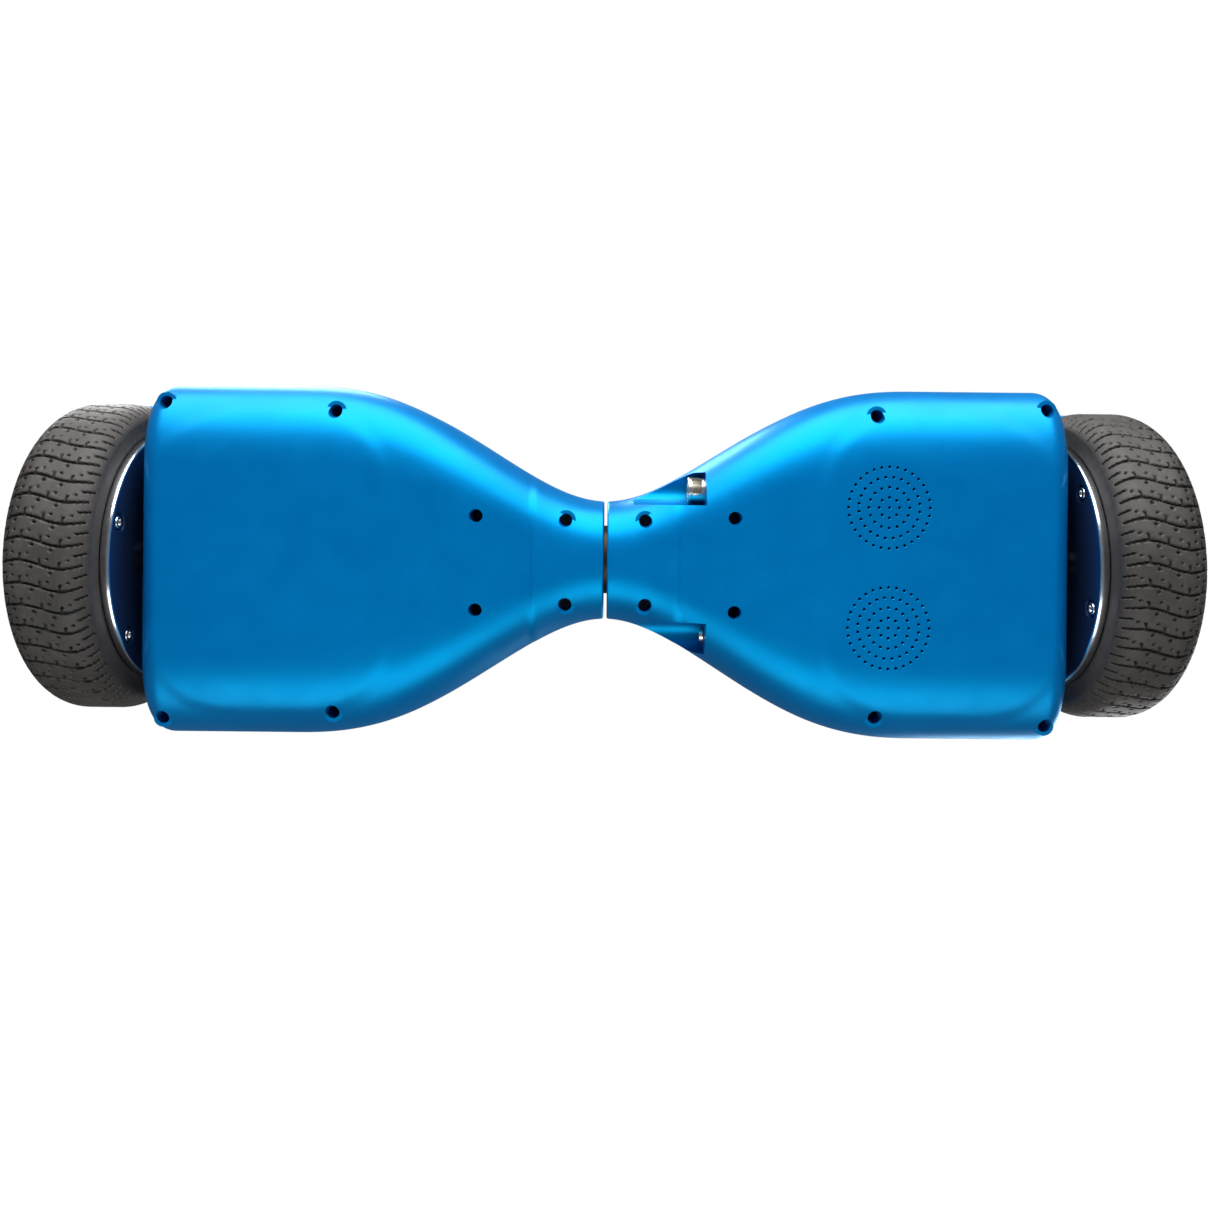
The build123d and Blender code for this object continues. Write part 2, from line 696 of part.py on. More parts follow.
with BuildPart() as rim:
    with BuildSketch(Plane.XZ):
        with Locations(((drum_start + drum_end) / 2, axle_height + rim_radius - 3.0 - rim_wall / 2)):
            Rectangle(drum_end - drum_start, rim_wall)
        for x in (hub_inner + flange_width / 2, hub_outer - flange_width / 2):
            with Locations((x, axle_height + rim_radius - 1.5)):
                Rectangle(flange_width, 3.0)
    revolve(axis=AXLE)
    fillet(
        rim.edges().filter_by(GeomType.CIRCLE).sort_by(Axis.X)[0:1]
        + rim.edges().filter_by(GeomType.CIRCLE).sort_by(Axis.X)[-1:],
        0.6,
    )
    with BuildSketch(axle_plane(drum_start)):
        with PolarLocations(hub_screw_circle, hub_screw_count, start_angle=hub_screw_phase - 90):
            Circle(2.0)
    extrude(amount=9.0, mode=Mode.SUBTRACT)
save_pair(rim, "rim", left_wheel_turn)

with BuildPart() as magnets:
    with BuildSketch(axle_plane(stator_start)):
        Circle(drum_inner_radius)
        Circle(drum_inner_radius - magnet_depth, mode=Mode.SUBTRACT)
        with PolarLocations(drum_inner_radius - magnet_depth / 2, magnet_count):
            Rectangle(2 * magnet_depth, 1.2, mode=Mode.SUBTRACT)
    extrude(amount=stator_end - stator_start)
save_pair(magnets, "magnets", left_wheel_turn)

cover_radius = rim_radius - 3.0
with BuildPart() as inner_hub_cover:
    with BuildSketch(axle_plane(hub_inner + cover_gap)):
        Circle(cover_radius)
    extrude(amount=drum_start - hub_inner - cover_gap)
    with BuildSketch(axle_plane(drum_start)):
        Circle(hub_boss_radius)
    extrude(amount=inner_bearing_start + bearing_width - drum_start)
    with BuildSketch(axle_plane(inner_bearing_start)):
        Circle(bearing_radius)
    extrude(amount=bearing_width, mode=Mode.SUBTRACT)
    with BuildSketch(axle_plane(hub_inner)):
        Circle(axle_radius + 3.0)
    extrude(amount=5.0, mode=Mode.SUBTRACT)
    with BuildSketch(axle_plane(hub_inner)):
        with PolarLocations(hub_screw_circle, hub_screw_count, start_angle=hub_screw_phase - 90):
            Circle(4.4)
    extrude(amount=cover_gap + 1.5, mode=Mode.SUBTRACT)
    with BuildSketch(axle_plane(hub_inner)):
        with PolarLocations(hub_screw_circle, hub_screw_count, start_angle=hub_screw_phase - 90):
            Circle(2.0)
    extrude(amount=5.0, mode=Mode.SUBTRACT)
save_pair(inner_hub_cover, "inner_hub_cover", left_wheel_turn)

with BuildPart() as hub_screws:
    with BuildSketch(axle_plane(hub_inner + cover_gap + 0.2)):
        with PolarLocations(hub_screw_circle, hub_screw_count, start_angle=hub_screw_phase - 90):
            Circle(3.25)
            RegularPolygon(1.7, 6, mode=Mode.SUBTRACT)
    extrude(amount=0.9)
    with BuildSketch(axle_plane(hub_inner + cover_gap + 1.1)):
        with PolarLocations(hub_screw_circle, hub_screw_count, start_angle=hub_screw_phase - 90):
            Circle(3.25)
    extrude(amount=0.4)
    with BuildSketch(axle_plane(hub_inner + cover_gap + 1.5)):
        with PolarLocations(hub_screw_circle, hub_screw_count, start_angle=hub_screw_phase - 90):
            Circle(2.0)
    extrude(amount=9.0)
save_pair(hub_screws, "hub_screws", left_wheel_turn)

with BuildPart() as outer_hub_cover:
    with BuildSketch(axle_plane(drum_end)):
        Circle(cover_radius)
    extrude(amount=hub_outer - cover_gap - drum_end)
    with BuildSketch(axle_plane(outer_bearing_end - bearing_width)):
        Circle(hub_boss_radius)
    extrude(amount=drum_end - outer_bearing_end + bearing_width)
    with BuildSketch(axle_plane(outer_bearing_end - bearing_width)):
        Circle(bearing_radius)
    extrude(amount=2 * bearing_width, mode=Mode.SUBTRACT)
save_pair(outer_hub_cover, "outer_hub_cover", left_wheel_turn)

with BuildPart() as hub_cap:
    with BuildSketch(axle_plane(outer_bearing_end)):
        Circle(bearing_radius)
    extrude(amount=half_length - 0.4 - outer_bearing_end)
    fillet(hub_cap.faces().sort_by(Axis.X)[-1].edges(), 1.0)
save_pair(hub_cap, "hub_cap", left_wheel_turn)

with BuildPart() as wheel_bearings:
    for x in (inner_bearing_start, outer_bearing_end - bearing_width):
        with BuildSketch(axle_plane(x)):
            Circle(bearing_radius)
            Circle(axle_radius + running_clearance, mode=Mode.SUBTRACT)
        extrude(amount=bearing_width)
save_pair(wheel_bearings, "wheel_bearings", left_wheel_turn)

# ---- electronics --------------------------------------------------------------------------------------
with BuildPart() as gyro_board:
    with BuildSketch(Plane.XY.offset(plate_top)):
        with Locations((mat_peg_places[0][0], 0)):
            RectangleRounded(40.0, 56.0, 3.0)
    extrude(amount=1.6)
    for s in (-1, 1):
        with BuildSketch(Plane.XY.offset(plate_top + 1.6)):
            with Locations(*mat_peg_places):
                with Locations((s * (mat_peg_radius + 2.5), 0)):
                    Rectangle(3.0, 8.0)
        extrude(amount=12.0)
    with BuildSketch(Plane.XY.offset(plate_top + 1.6)):
        with Locations((mat_peg_places[0][0], 0)):
            Rectangle(8.0, 8.0)
    extrude(amount=1.2)
save_pair(gyro_board, "gyro_board")

battery_middle = sum(strap_places) / 2
with BuildPart() as battery_pack:
    with BuildSketch(Plane.XY.offset(plate_bottom - battery_size[2])):
        with Locations((battery_middle, 0)):
            RectangleRounded(battery_size[0], battery_size[1], 5.0)
    extrude(amount=battery_size[2])
save(battery_pack, "battery_pack")

strap_low = plate_bottom - battery_size[2]
strap_inner = battery_size[1] / 2
with BuildPart() as battery_straps:
    for x in strap_places:
        with BuildSketch(Plane.YZ.offset(x - strap_width / 2)):
            with BuildLine():
                Polyline(
                    (-strap_bolt_side - 5, plate_bottom),
                    (-strap_inner, plate_bottom),
                    (-strap_inner, strap_low),
                    (strap_inner, strap_low),
                    (strap_inner, plate_bottom),
                    (strap_bolt_side + 5, plate_bottom),
                    (strap_bolt_side + 5, plate_bottom - strap_thickness),
                    (strap_inner + strap_thickness, plate_bottom - strap_thickness),
                    (strap_inner + strap_thickness, strap_low - strap_thickness),
                    (-strap_inner - strap_thickness, strap_low - strap_thickness),
                    (-strap_inner - strap_thickness, plate_bottom - strap_thickness),
                    (-strap_bolt_side - 5, plate_bottom - strap_thickness),
                    close=True,
                )
            make_face()
        extrude(amount=strap_width)
    with BuildSketch(Plane.XY.offset(plate_bottom - strap_thickness)):
        with Locations(*strap_screws):
            Circle(screw_radius)
    extrude(amount=strap_thickness, mode=Mode.SUBTRACT)
save(battery_straps, "battery_straps")

with BuildPart() as strap_screw_set:
    with BuildSketch(Plane.XY.offset(plate_bottom - strap_thickness - head_height)):
        with Locations(*strap_screws):
            Circle(head_radius)
    extrude(amount=head_height)
    with BuildSketch(Plane.XY.offset(plate_bottom - strap_thickness)):
        with Locations(*strap_screws):
            Circle(screw_radius)
    extrude(amount=strap_thickness + plate_thickness)
save(strap_screw_set, "battery_strap_screws")

board_top = plate_bottom - 2.4
board_thickness = 1.6
with BuildPart() as control_board:
    with BuildSketch(Plane.XY.offset(board_top - board_thickness)):
        with Locations((135.0, 0)):
            RectangleRounded(96.0, 98.0, 3.0)
        with Locations(*board_corners):
            Circle(screw_radius, mode=Mode.SUBTRACT)
    extrude(amount=board_thickness)
    with BuildSketch(Plane.XY.offset(board_top - board_thickness)):
        with Locations((120.0, 0)):
            Rectangle(12.0, 70.0)
    extrude(amount=-10.0)
    with BuildSketch(Plane.XY.offset(board_top - board_thickness)):
        with Locations((145.0, 0)):
            with GridLocations(16.0, 20.0, 2, 3):
                Circle(6.0)
    extrude(amount=-15.0)
    with BuildSketch(Plane.XY.offset(board_top - board_thickness)):
        with Locations((174.0, 0)):
            with GridLocations(1.0, 16.0, 1, 4):
                Rectangle(8.0, 11.0)
    extrude(amount=-8.0)
save(control_board, "control_board")

with BuildPart() as board_screws:
    with BuildSketch(Plane.XY.offset(board_top - board_thickness - head_height)):
        with Locations(*board_corners):
            Circle(head_radius)
    extrude(amount=head_height)
    with BuildSketch(Plane.XY.offset(board_top - board_thickness)):
        with Locations(*board_corners):
            Circle(screw_radius)
    extrude(amount=board_thickness + 2.6 + 2.2)
save(board_screws, "board_screws")

floor_height = bottom_height + wall
with BuildPart() as audio_board:
    with BuildSketch(Plane.XY.offset(floor_height)):
        with Locations((205.0, 0)):
            RectangleRounded(26.0, 44.0, 2.0)
    extrude(amount=1.6)
    with BuildSketch(Plane.XY.offset(floor_height + 1.6)):
        with Locations((205.0, 8.0)):
            Rectangle(12.0, 14.0)
    extrude(amount=2.0)
save(audio_board, "audio_board")


def make_speaker(y):
    """A loudspeaker facing down: a seat ring, a basket, a cone and a magnet."""
    with BuildPart() as speaker:
        with BuildSketch(Plane.XZ):
            with BuildLine():
                Polyline(
                    (0, floor_height + 9.0),
                    (5.0, floor_height + 9.0),
                    (speaker_radius - 5.0, floor_height + 1.5),
                    (speaker_radius - 2.5, floor_height),
                    (speaker_radius + 1.0, floor_height),
                    (speaker_radius + 1.0, floor_height + 2.0),
                    (speaker_radius - 3.0, floor_height + 2.0),
                    (15.0, floor_height + 9.0),
                    (15.0, floor_height + 17.0),
                    (0, floor_height + 17.0),
                    close=True,
                )
            make_face()
        revolve(axis=Axis.Z)
    with BuildPart() as placed:
        with Locations((speaker_x, y, 0)):
            add(speaker.part)
    return placed


save(make_speaker(-speaker_y), "front_speaker")
save(make_speaker(speaker_y), "rear_speaker")

with BuildPart() as speaker_clips:
    with BuildSketch(Plane.XY.offset(floor_height)):
        for s in (-1, 1):
            with Locations((speaker_x, s * speaker_y)):
                with PolarLocations(speaker_radius + 3.5, 4, start_angle=45.0):
                    Circle(2.5)
    extrude(amount=4.0)
    with BuildSketch(Plane.XY.offset(floor_height + 2.0)):
        for s in (-1, 1):
            with Locations((speaker_x, s * speaker_y)):
                Circle(speaker_radius + 1.0)
    extrude(amount=-2.0, mode=Mode.SUBTRACT)
save(speaker_clips, "speaker_clips")

# ---- charge socket and power switch -------------------------------------------------------------------
socket_back = wall + 6.0
insert_radius = socket_bore + 0.4
with BuildPart() as charge_port_shell:
    with BuildSketch(socket_plane):
        Circle(socket_radius)
        Circle(socket_bore, mode=Mode.SUBTRACT)
    extrude(amount=socket_length)
    with BuildSketch(socket_plane):
        Circle(socket_radius)
        Circle(insert_radius, mode=Mode.SUBTRACT)
    extrude(amount=-socket_back)
    # nut behind the cover's wall
    with BuildSketch(socket_plane.offset(-wall)):
        Circle(socket_radius + 2.2)
        Circle(insert_radius, mode=Mode.SUBTRACT)
    extrude(amount=-3.0)
    with BuildSketch(Plane.XY.offset(socket_z - socket_radius - 1)):
        with Locations((pocket_end - socket_length / 2 - 0.3, -socket_y - 0.6)):
            RectangleRounded(5.4, 6.6, 1.5)
    extrude(amount=4.0, mode=Mode.SUBTRACT)
save(charge_port_shell, "charge_port_shell")

with BuildPart() as charge_port_insert:
    with BuildSketch(socket_plane):
        Circle(insert_radius)
    extrude(amount=-socket_back)
    with BuildSketch(socket_plane):
        with PolarLocations(2.4, 3, start_angle=90.0):
            Circle(0.6)
    extrude(amount=-4.0, mode=Mode.SUBTRACT)
save(charge_port_insert, "charge_port_insert")

with BuildPart() as power_switch_body:
    with BuildSketch(button_plane):
        Circle(switch_radius)
        Circle(button_radius + running_clearance + 0.05, mode=Mode.SUBTRACT)
    extrude(amount=-8.0)
    with BuildSketch(button_plane.offset(-8.0)):
        Circle(switch_radius)
    extrude(amount=-6.0)
    with BuildSketch(button_plane.offset(-wall)):
        Circle(switch_radius + 3.0)
        Circle(switch_radius, mode=Mode.SUBTRACT)
    extrude(amount=-2.0)
save(power_switch_body, "power_switch_body")

with BuildPart() as power_button:
    with BuildSketch(button_plane.offset(button_proud)):
        Circle(button_radius)
    extrude(amount=-button_proud - 5.0)
    fillet(power_button.faces().sort_by(Axis.X)[0].edges(), 0.8)
save(power_button, "power_button")
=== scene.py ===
"""Self balancing hoverboard: finished surfaces and materials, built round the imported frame."""
import json
import math

import bmesh
import bpy
import numpy as np
from bpy.props import FloatProperty, FloatVectorProperty, IntProperty, PointerProperty
from mathutils import Matrix, Vector


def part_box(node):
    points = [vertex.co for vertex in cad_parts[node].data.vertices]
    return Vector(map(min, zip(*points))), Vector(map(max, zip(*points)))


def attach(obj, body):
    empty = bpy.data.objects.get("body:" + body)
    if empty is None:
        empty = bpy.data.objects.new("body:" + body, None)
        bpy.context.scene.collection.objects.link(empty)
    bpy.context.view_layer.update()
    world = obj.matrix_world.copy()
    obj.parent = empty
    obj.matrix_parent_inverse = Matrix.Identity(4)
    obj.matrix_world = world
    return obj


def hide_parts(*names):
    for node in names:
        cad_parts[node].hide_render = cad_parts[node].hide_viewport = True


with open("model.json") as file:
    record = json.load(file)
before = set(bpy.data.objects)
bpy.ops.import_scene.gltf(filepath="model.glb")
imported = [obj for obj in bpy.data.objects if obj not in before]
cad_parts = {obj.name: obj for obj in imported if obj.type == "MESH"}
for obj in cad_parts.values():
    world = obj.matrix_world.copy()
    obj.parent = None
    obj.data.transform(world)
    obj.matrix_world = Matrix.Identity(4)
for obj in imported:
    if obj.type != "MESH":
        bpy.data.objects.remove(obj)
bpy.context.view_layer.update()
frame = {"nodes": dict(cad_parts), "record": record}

bl_info = {
    "name": "Self balancing hoverboard",
    "version": (1, 0, 0),
    "blender": (4, 5, 0),
    "location": "View3D > Sidebar > Hoverboard",
    "description": "Builds the visible pieces of a self balancing hoverboard",
    "category": "Add Mesh",
}

MM = 0.001


def box_mm(node):
    """Lowest and highest corners of a frame node, in millimetres."""
    low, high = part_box(node)
    return np.array(low) / MM, np.array(high) / MM


# ---- sizes read from the frame, in millimetres ---------------------------------------------------------
TYRE_LOW, TYRE_HIGH = box_mm("right_tyre")
AXLE_Z = (TYRE_LOW[2] + TYRE_HIGH[2]) / 2
COVER_LOW, COVER_HIGH = box_mm("right_bottom_cover")
TOP_HIGH = box_mm("right_top_cover")[1]
MAT_LOW, MAT_HIGH = box_mm("right_foot_mat")
PORT_LOW, PORT_HIGH = box_mm("charge_port_shell")
BUTTON_LOW, BUTTON_HIGH = box_mm("power_button")
RIM_LOW, RIM_HIGH = box_mm("right_rim")
GAP = COVER_LOW[0]
BODY_END = COVER_HIGH[0]
BODY_HALF = COVER_HIGH[1]
TYRE_RADIUS = (TYRE_HIGH[2] - TYRE_LOW[2]) / 2
FLARE = 165.0
NECK_HALF = 32.6
NECK_LOW = AXLE_Z - 33.5
NECK_HIGH = AXLE_Z + 33.0
DECK_LOW = COVER_LOW[2] + 1.5
DECK_HIGH = AXLE_Z + 34.0
BELLY = 115.0
WALL = 2.6
END_ROUND = 11.0
GAP_ROUND = 1.1
COLLAR_HOLE = 19.5
AXLE_HOLE = 9.0
SCREW_PLACES = [(21.0, 22.5), (67.0, 24.4), (140.0, 78.0), (BODY_END - 10.5, BODY_HALF - 11.6)]
SCREW_HEAD_Z = AXLE_Z - 16.0
RECESS_RADIUS = 3.35
RIM_RADIUS = RIM_HIGH[1]
TREAD_FLAT = 16.0
DISC_RADIUS = RIM_RADIUS - 1.25
HUB_SCREW_CIRCLE = 59.5
TRAY_FLOOR = MAT_HIGH[2] - 5.2
MAT_BASE = MAT_HIGH[2] - 3.5
MAT_PEG = (150.0, 18.0)
SPEAKER = (144.5, 30.7)
GRILLE_PITCH = 5.2
GRILLE_RINGS = [(1, 0.0, 0.0), (8, 1.0, 0.0), (16, 2.0, 0.0), (24, 3.0, 7.5), (32, 4.0, 0.0)]


def ease(t):
    """Smooth step from 0 to 1."""
    t = np.clip(t, 0.0, 1.0)
    return t * t * (3 - 2 * t)


# ---- mesh helpers --------------------------------------------------------------------------------------
def new_object(name, vertices, faces, smooth_angle=35.0):
    """A mesh object from points in millimetres."""
    mesh = bpy.data.meshes.new(name)
    mesh.from_pydata((np.asarray(vertices) * MM).tolist(), [], [list(f) for f in faces])
    mesh.validate()
    mesh.update()
    piece = bpy.data.objects.new(name, mesh)
    bpy.context.scene.collection.objects.link(piece)
    shade(piece, smooth_angle)
    return piece


def shade(piece, angle=35.0):
    """Smooth shading with hard edges above an angle."""
    piece.data.polygons.foreach_set("use_smooth", [True] * len(piece.data.polygons))
    piece.data.set_sharp_from_angle(angle=math.radians(angle))


def grid_faces(rows, columns, offset=0, wrap_rows=False, wrap_columns=False, flip=False):
    """Quads of a grid of points stored row by row."""
    i = np.arange(rows if wrap_rows else rows - 1)[:, None]
    j = np.arange(columns if wrap_columns else columns - 1)[None, :]
    i2 = (i + 1) % rows
    j2 = (j + 1) % columns
    corners = [i * columns + j, i2 * columns + j, i2 * columns + j2, i * columns + j2]
    quads = np.stack([c + offset + 0 * (i + j) for c in corners], axis=-1).reshape(-1, 4)
    return quads[:, ::-1] if flip else quads


def settle(piece):
    """Turn a piece and its modifiers into plain mesh."""
    graph = bpy.context.evaluated_depsgraph_get()
    mesh = bpy.data.meshes.new_from_object(piece.evaluated_get(graph))
    piece.modifiers.clear()
    old = piece.data
    piece.data = mesh
    bpy.data.meshes.remove(old)


def combine(piece, tool, operation):
    """Cut or join one closed mesh with another, and drop the tool."""
    modifier = piece.modifiers.new("combine", "BOOLEAN")
    modifier.operation = operation
    modifier.solver = "MANIFOLD"
    modifier.object = tool
    bpy.context.view_layer.update()
    settle(piece)
    bpy.data.objects.remove(tool, do_unlink=True)


def join(name, parts):
    """One object from several, keeping their materials apart by slot."""
    with bpy.context.temp_override(
        active_object=parts[0], object=parts[0], selected_objects=parts, selected_editable_objects=parts
    ):
        bpy.ops.object.join()
    parts[0].name = name
    parts[0].data.name = name
    return parts[0]


def lathe(name, profile, centre, axis="X", segments=128):
    """A ring or disc turned about an axis from a closed profile of (along, radius) points."""
    profile = np.array(profile, dtype=float)
    turn = np.linspace(0, 2 * math.pi, segments, endpoint=False)
    along = np.repeat(profile[None, :, 0], segments, axis=0)
    radius = np.repeat(profile[None, :, 1], segments, axis=0)
    first = radius * np.cos(turn)[:, None]
    second = radius * np.sin(turn)[:, None]
    stack = {"X": (along, first, second), "Y": (second, along, first), "Z": (first, second, along)}[axis]
    points = np.stack(stack, axis=-1) + np.array(centre)
    faces = grid_faces(segments, len(profile), wrap_rows=True, wrap_columns=True)
    piece = new_object(name, points.reshape(-1, 3), faces)
    tidy(piece)
    return piece


def tidy(piece):
    """Merge doubled points and turn all faces outward."""
    mesh = bmesh.new()
    mesh.from_mesh(piece.data)
    bmesh.ops.remove_doubles(mesh, verts=mesh.verts, dist=0.002 * MM)
    bmesh.ops.dissolve_degenerate(mesh, edges=mesh.edges, dist=0.001 * MM)
    bmesh.ops.recalc_face_normals(mesh, faces=mesh.faces)
    mesh.to_mesh(piece.data)
    mesh.free()


def prism(name, outline, low, high, plane="XY"):
    """A closed solid from a flat outline between two heights."""
    count = len(outline)
    order = {"XY": (0, 1, 2), "YZ": (2, 0, 1), "XZ": (0, 2, 1)}[plane]
    rows = []
    for height in (low, high):
        flat = np.column_stack([np.array(outline), np.full(count, height)])
        rows.append(flat[:, order])
    faces = [list(q) for q in grid_faces(2, count, wrap_columns=True)]
    faces += [list(range(count)), list(range(count, 2 * count))]
    piece = new_object(name, np.vstack(rows), faces)
    tidy(piece)
    return piece


def arc(centre, radius, start, stop, steps):
    """Points on an arc, angles in degrees."""
    turn = np.radians(np.linspace(start, stop, steps))
    return [(centre[0] + radius * math.cos(a), centre[1] + radius * math.sin(a)) for a in turn]


ROUND_STEPS = 10


def rounded_outline(corners, radius):
    """A closed outline through corner points, each rounded to a radius."""
    points = []
    count = len(corners)
    for k in range(count):
        here = Vector(corners[k])
        back = (Vector(corners[k - 1]) - here).normalized()
        on = (Vector(corners[(k + 1) % count]) - here).normalized()
        half = back.angle(on) / 2
        reach = radius / math.tan(half)
        middle = here + (back + on).normalized() * radius / math.sin(half)
        first = here + back * reach - middle
        last = here + on * reach - middle
        sweep = first.angle_signed(last)
        for i in range(ROUND_STEPS):
            turn = -sweep * i / (ROUND_STEPS - 1)
            spun = Matrix.Rotation(turn, 2) @ first
            points.append(tuple(middle + spun))
    return points


# ---- the body's shape ----------------------------------------------------------------------------------
def half_depth(x):
    """Half of the body's front-to-back size along the board."""
    t = 1 - (1 - np.minimum(x / FLARE, 1.0)) ** 1.3
    return NECK_HALF + (BODY_HALF - NECK_HALF) * ease(t)


SIDE_STEPS, CORNER_STEPS, FLAT_STEPS = 10, 34, 56
PLATEAU_START, PLATEAU_END, PLATEAU_SIDE, PLATEAU_CORNER = 110.0, BODY_END - 5.0, 79.0, 45.0
PLATEAU_HEIGHT, PLATEAU_SLOPE = 0.8, 9.0
SADDLE_HALF, SADDLE_HEIGHT, SADDLE_SLOPE = 38.5, 1.3, 2.6


def plateau(x, y):
    """Height of the soft raised area on the deck's underside."""
    dx = np.abs(x - (PLATEAU_START + PLATEAU_END) / 2) - (PLATEAU_END - PLATEAU_START) / 2 + PLATEAU_CORNER
    dy = np.abs(y) - PLATEAU_SIDE + PLATEAU_CORNER
    outside = np.hypot(np.maximum(dx, 0), np.maximum(dy, 0)) + np.minimum(np.maximum(dx, dy), 0)
    return PLATEAU_HEIGHT * ease(0.5 - (outside - PLATEAU_CORNER) / PLATEAU_SLOPE)


def saddle(x):
    """Height of the band raised across the neck's underside, next to the gap."""
    return SADDLE_HEIGHT * ease((SADDLE_HALF - x) / SADDLE_SLOPE + 0.5)


def section_loop(x, inset, lower):
    """Half of a body section from the front seam round to the rear seam, as (y, z) points."""
    blend = ease(x / FLARE)
    belly = ease(x / BELLY)
    side = half_depth(x) - inset
    if lower:
        reach = AXLE_Z - (NECK_LOW + (DECK_LOW - NECK_LOW) * belly) - inset
        wide = 31.0 + (46.0 - 31.0) * blend - inset
        tall = 31.0 + (34.0 - 31.0) * blend - inset
    else:
        reach = (NECK_HIGH + (DECK_HIGH - NECK_HIGH) * belly) - AXLE_Z - inset
        wide = 31.0 + (23.0 - 31.0) * blend - inset
        tall = 31.0 + (20.0 - 31.0) * blend - inset
    wide = max(min(wide, side - 0.5), 0.5)
    tall = max(min(tall, reach - 0.5), 0.5)
    turn = np.linspace(0, math.pi / 2, CORNER_STEPS + 1)
    power = 2 / 2.25
    corner_y = -side + wide - wide * np.cos(turn) ** power
    corner_z = (reach - tall) + tall * np.sin(turn) ** power
    side_z = np.linspace(0.0, reach - tall, SIDE_STEPS + 1)[:-1]
    side_y = np.full(SIDE_STEPS, -side)
    flat_y = np.linspace(-side + wide, 0.0, FLAT_STEPS // 2 + 1)[1:]
    flat_z = np.full(FLAT_STEPS // 2, reach)
    y = np.concatenate([side_y, corner_y, flat_y])
    z = np.concatenate([side_z, corner_z, flat_z])
    if inset < WALL:
        y[0] += 0.35
        z[1] = min(z[1], 0.45)
    y = np.concatenate([y, -y[-2::-1]])
    z = np.concatenate([z, z[-2::-1]])
    if lower:
        step_y, step_z = np.gradient(y), np.gradient(z)
        length = np.hypot(step_y, step_z) + 1e-9
        away = np.maximum(step_y / length, 0.0)
        relief = plateau(x, y) * ease((x - 60.0) / 20.0) + saddle(x)
        y = y - relief * away * step_z / length
        z = z + relief * away * step_y / length
    sign = -1 if lower else 1
    return np.column_stack([y, AXLE_Z + sign * z])


def hole_loop(radius, lower, count):
    """Half circle round the axle line, matching a section loop's order."""
    turn = np.linspace(0, math.pi, count)
    sign = -1 if lower else 1
    return np.column_stack([-radius * np.cos(turn), AXLE_Z + sign * radius * np.sin(turn)])


def skin_rows(lower, depth):
    """Rows of one skin of a cover: gap cap, body, outer end cap; depth is how far inside the surface."""
    rows = []
    start = GAP + depth
    end = BODY_END - depth
    edge = section_loop(GAP, GAP_ROUND + depth, lower)
    hole = hole_loop(COLLAR_HOLE, lower, len(edge))
    for t in np.linspace(0, 1, 6)[:-1]:
        rows.append((start, hole + (edge - hole) * t))
    reach = GAP_ROUND * (1.0 if depth == 0 else 0.2)
    for a in np.linspace(0, math.pi / 2, 6):
        inset = GAP_ROUND * (1 - math.sin(a)) + depth
        rows.append((start + (1 - math.cos(a)) * reach, section_loop(GAP, inset, lower)))
    first = start + GAP_ROUND
    last = BODY_END - END_ROUND
    for x in np.linspace(first, last, 140)[1:]:
        rows.append((x, section_loop(x, depth, lower)))
    round_radius = END_ROUND - depth
    for a in np.linspace(0, math.pi / 2, 14)[1:]:
        inset = depth + round_radius * (1 - math.cos(a))
        x = last + round_radius * math.sin(a)
        rows.append((x, section_loop(x, inset, lower)))
    edge = rows[-1][1]
    hole = hole_loop(AXLE_HOLE, lower, len(edge))
    for t in np.linspace(0, 1, 14)[1:]:
        rows.append((end, edge + (hole - edge) * t))
    return np.array([np.column_stack([np.full(len(loop), x), loop]) for x, loop in rows])


def cover_shell(name, lower):
    """A closed thin cover, the lower or upper half of one half body, on the +X side."""
    outer = skin_rows(lower, 0.0)
    inner = skin_rows(lower, WALL)
    rows, columns = outer.shape[:2]
    count = rows * columns
    faces = [grid_faces(rows, columns), grid_faces(rows, columns, offset=count, flip=True)]
    index = np.arange(count).reshape(rows, columns)
    for line in (index[0], index[-1], index[:, 0], index[:, -1]):
        faces.append(np.stack([line[:-1], line[1:], line[1:] + count, line[:-1] + count], axis=-1))
    points = np.vstack([outer.reshape(-1, 3), inner.reshape(-1, 3)])
    piece = new_object(name, points, np.vstack(faces))
    tidy(piece)
    return piece


def underside_height(x, y):
    """Height of the lower cover's outer surface over a point in plan."""
    loop = section_loop(x, 0.0, True)
    middle = loop[SIDE_STEPS:-SIDE_STEPS]
    return float(np.interp(y, middle[:, 0], middle[:, 1]))


# ---- cutters and joined pieces -------------------------------------------------------------------------
def rod(name, x, y, profile, segments=40):
    """A closed round solid about an upright line, from (height, radius) points."""
    ends = [(profile[0][0], 0.0)] + list(profile) + [(profile[-1][0], 0.0)]
    return lathe(name, ends, (x, y, 0.0), "Z", segments)


def scatter(piece, shifts):
    """Repeat a closed mesh at several shifts, as one object."""
    mesh = piece.data
    points = np.empty(len(mesh.vertices) * 3)
    mesh.vertices.foreach_get("co", points)
    points = points.reshape(-1, 3) / MM
    faces = [tuple(f.vertices) for f in mesh.polygons]
    moved, polygons = [], []
    for k, shift in enumerate(shifts):
        moved.append(points + np.array(shift))
        polygons += [[v + k * len(points) for v in f] for f in faces]
    name = piece.name
    bpy.data.objects.remove(piece, do_unlink=True)
    return new_object(name + "_set", np.vstack(moved), polygons)


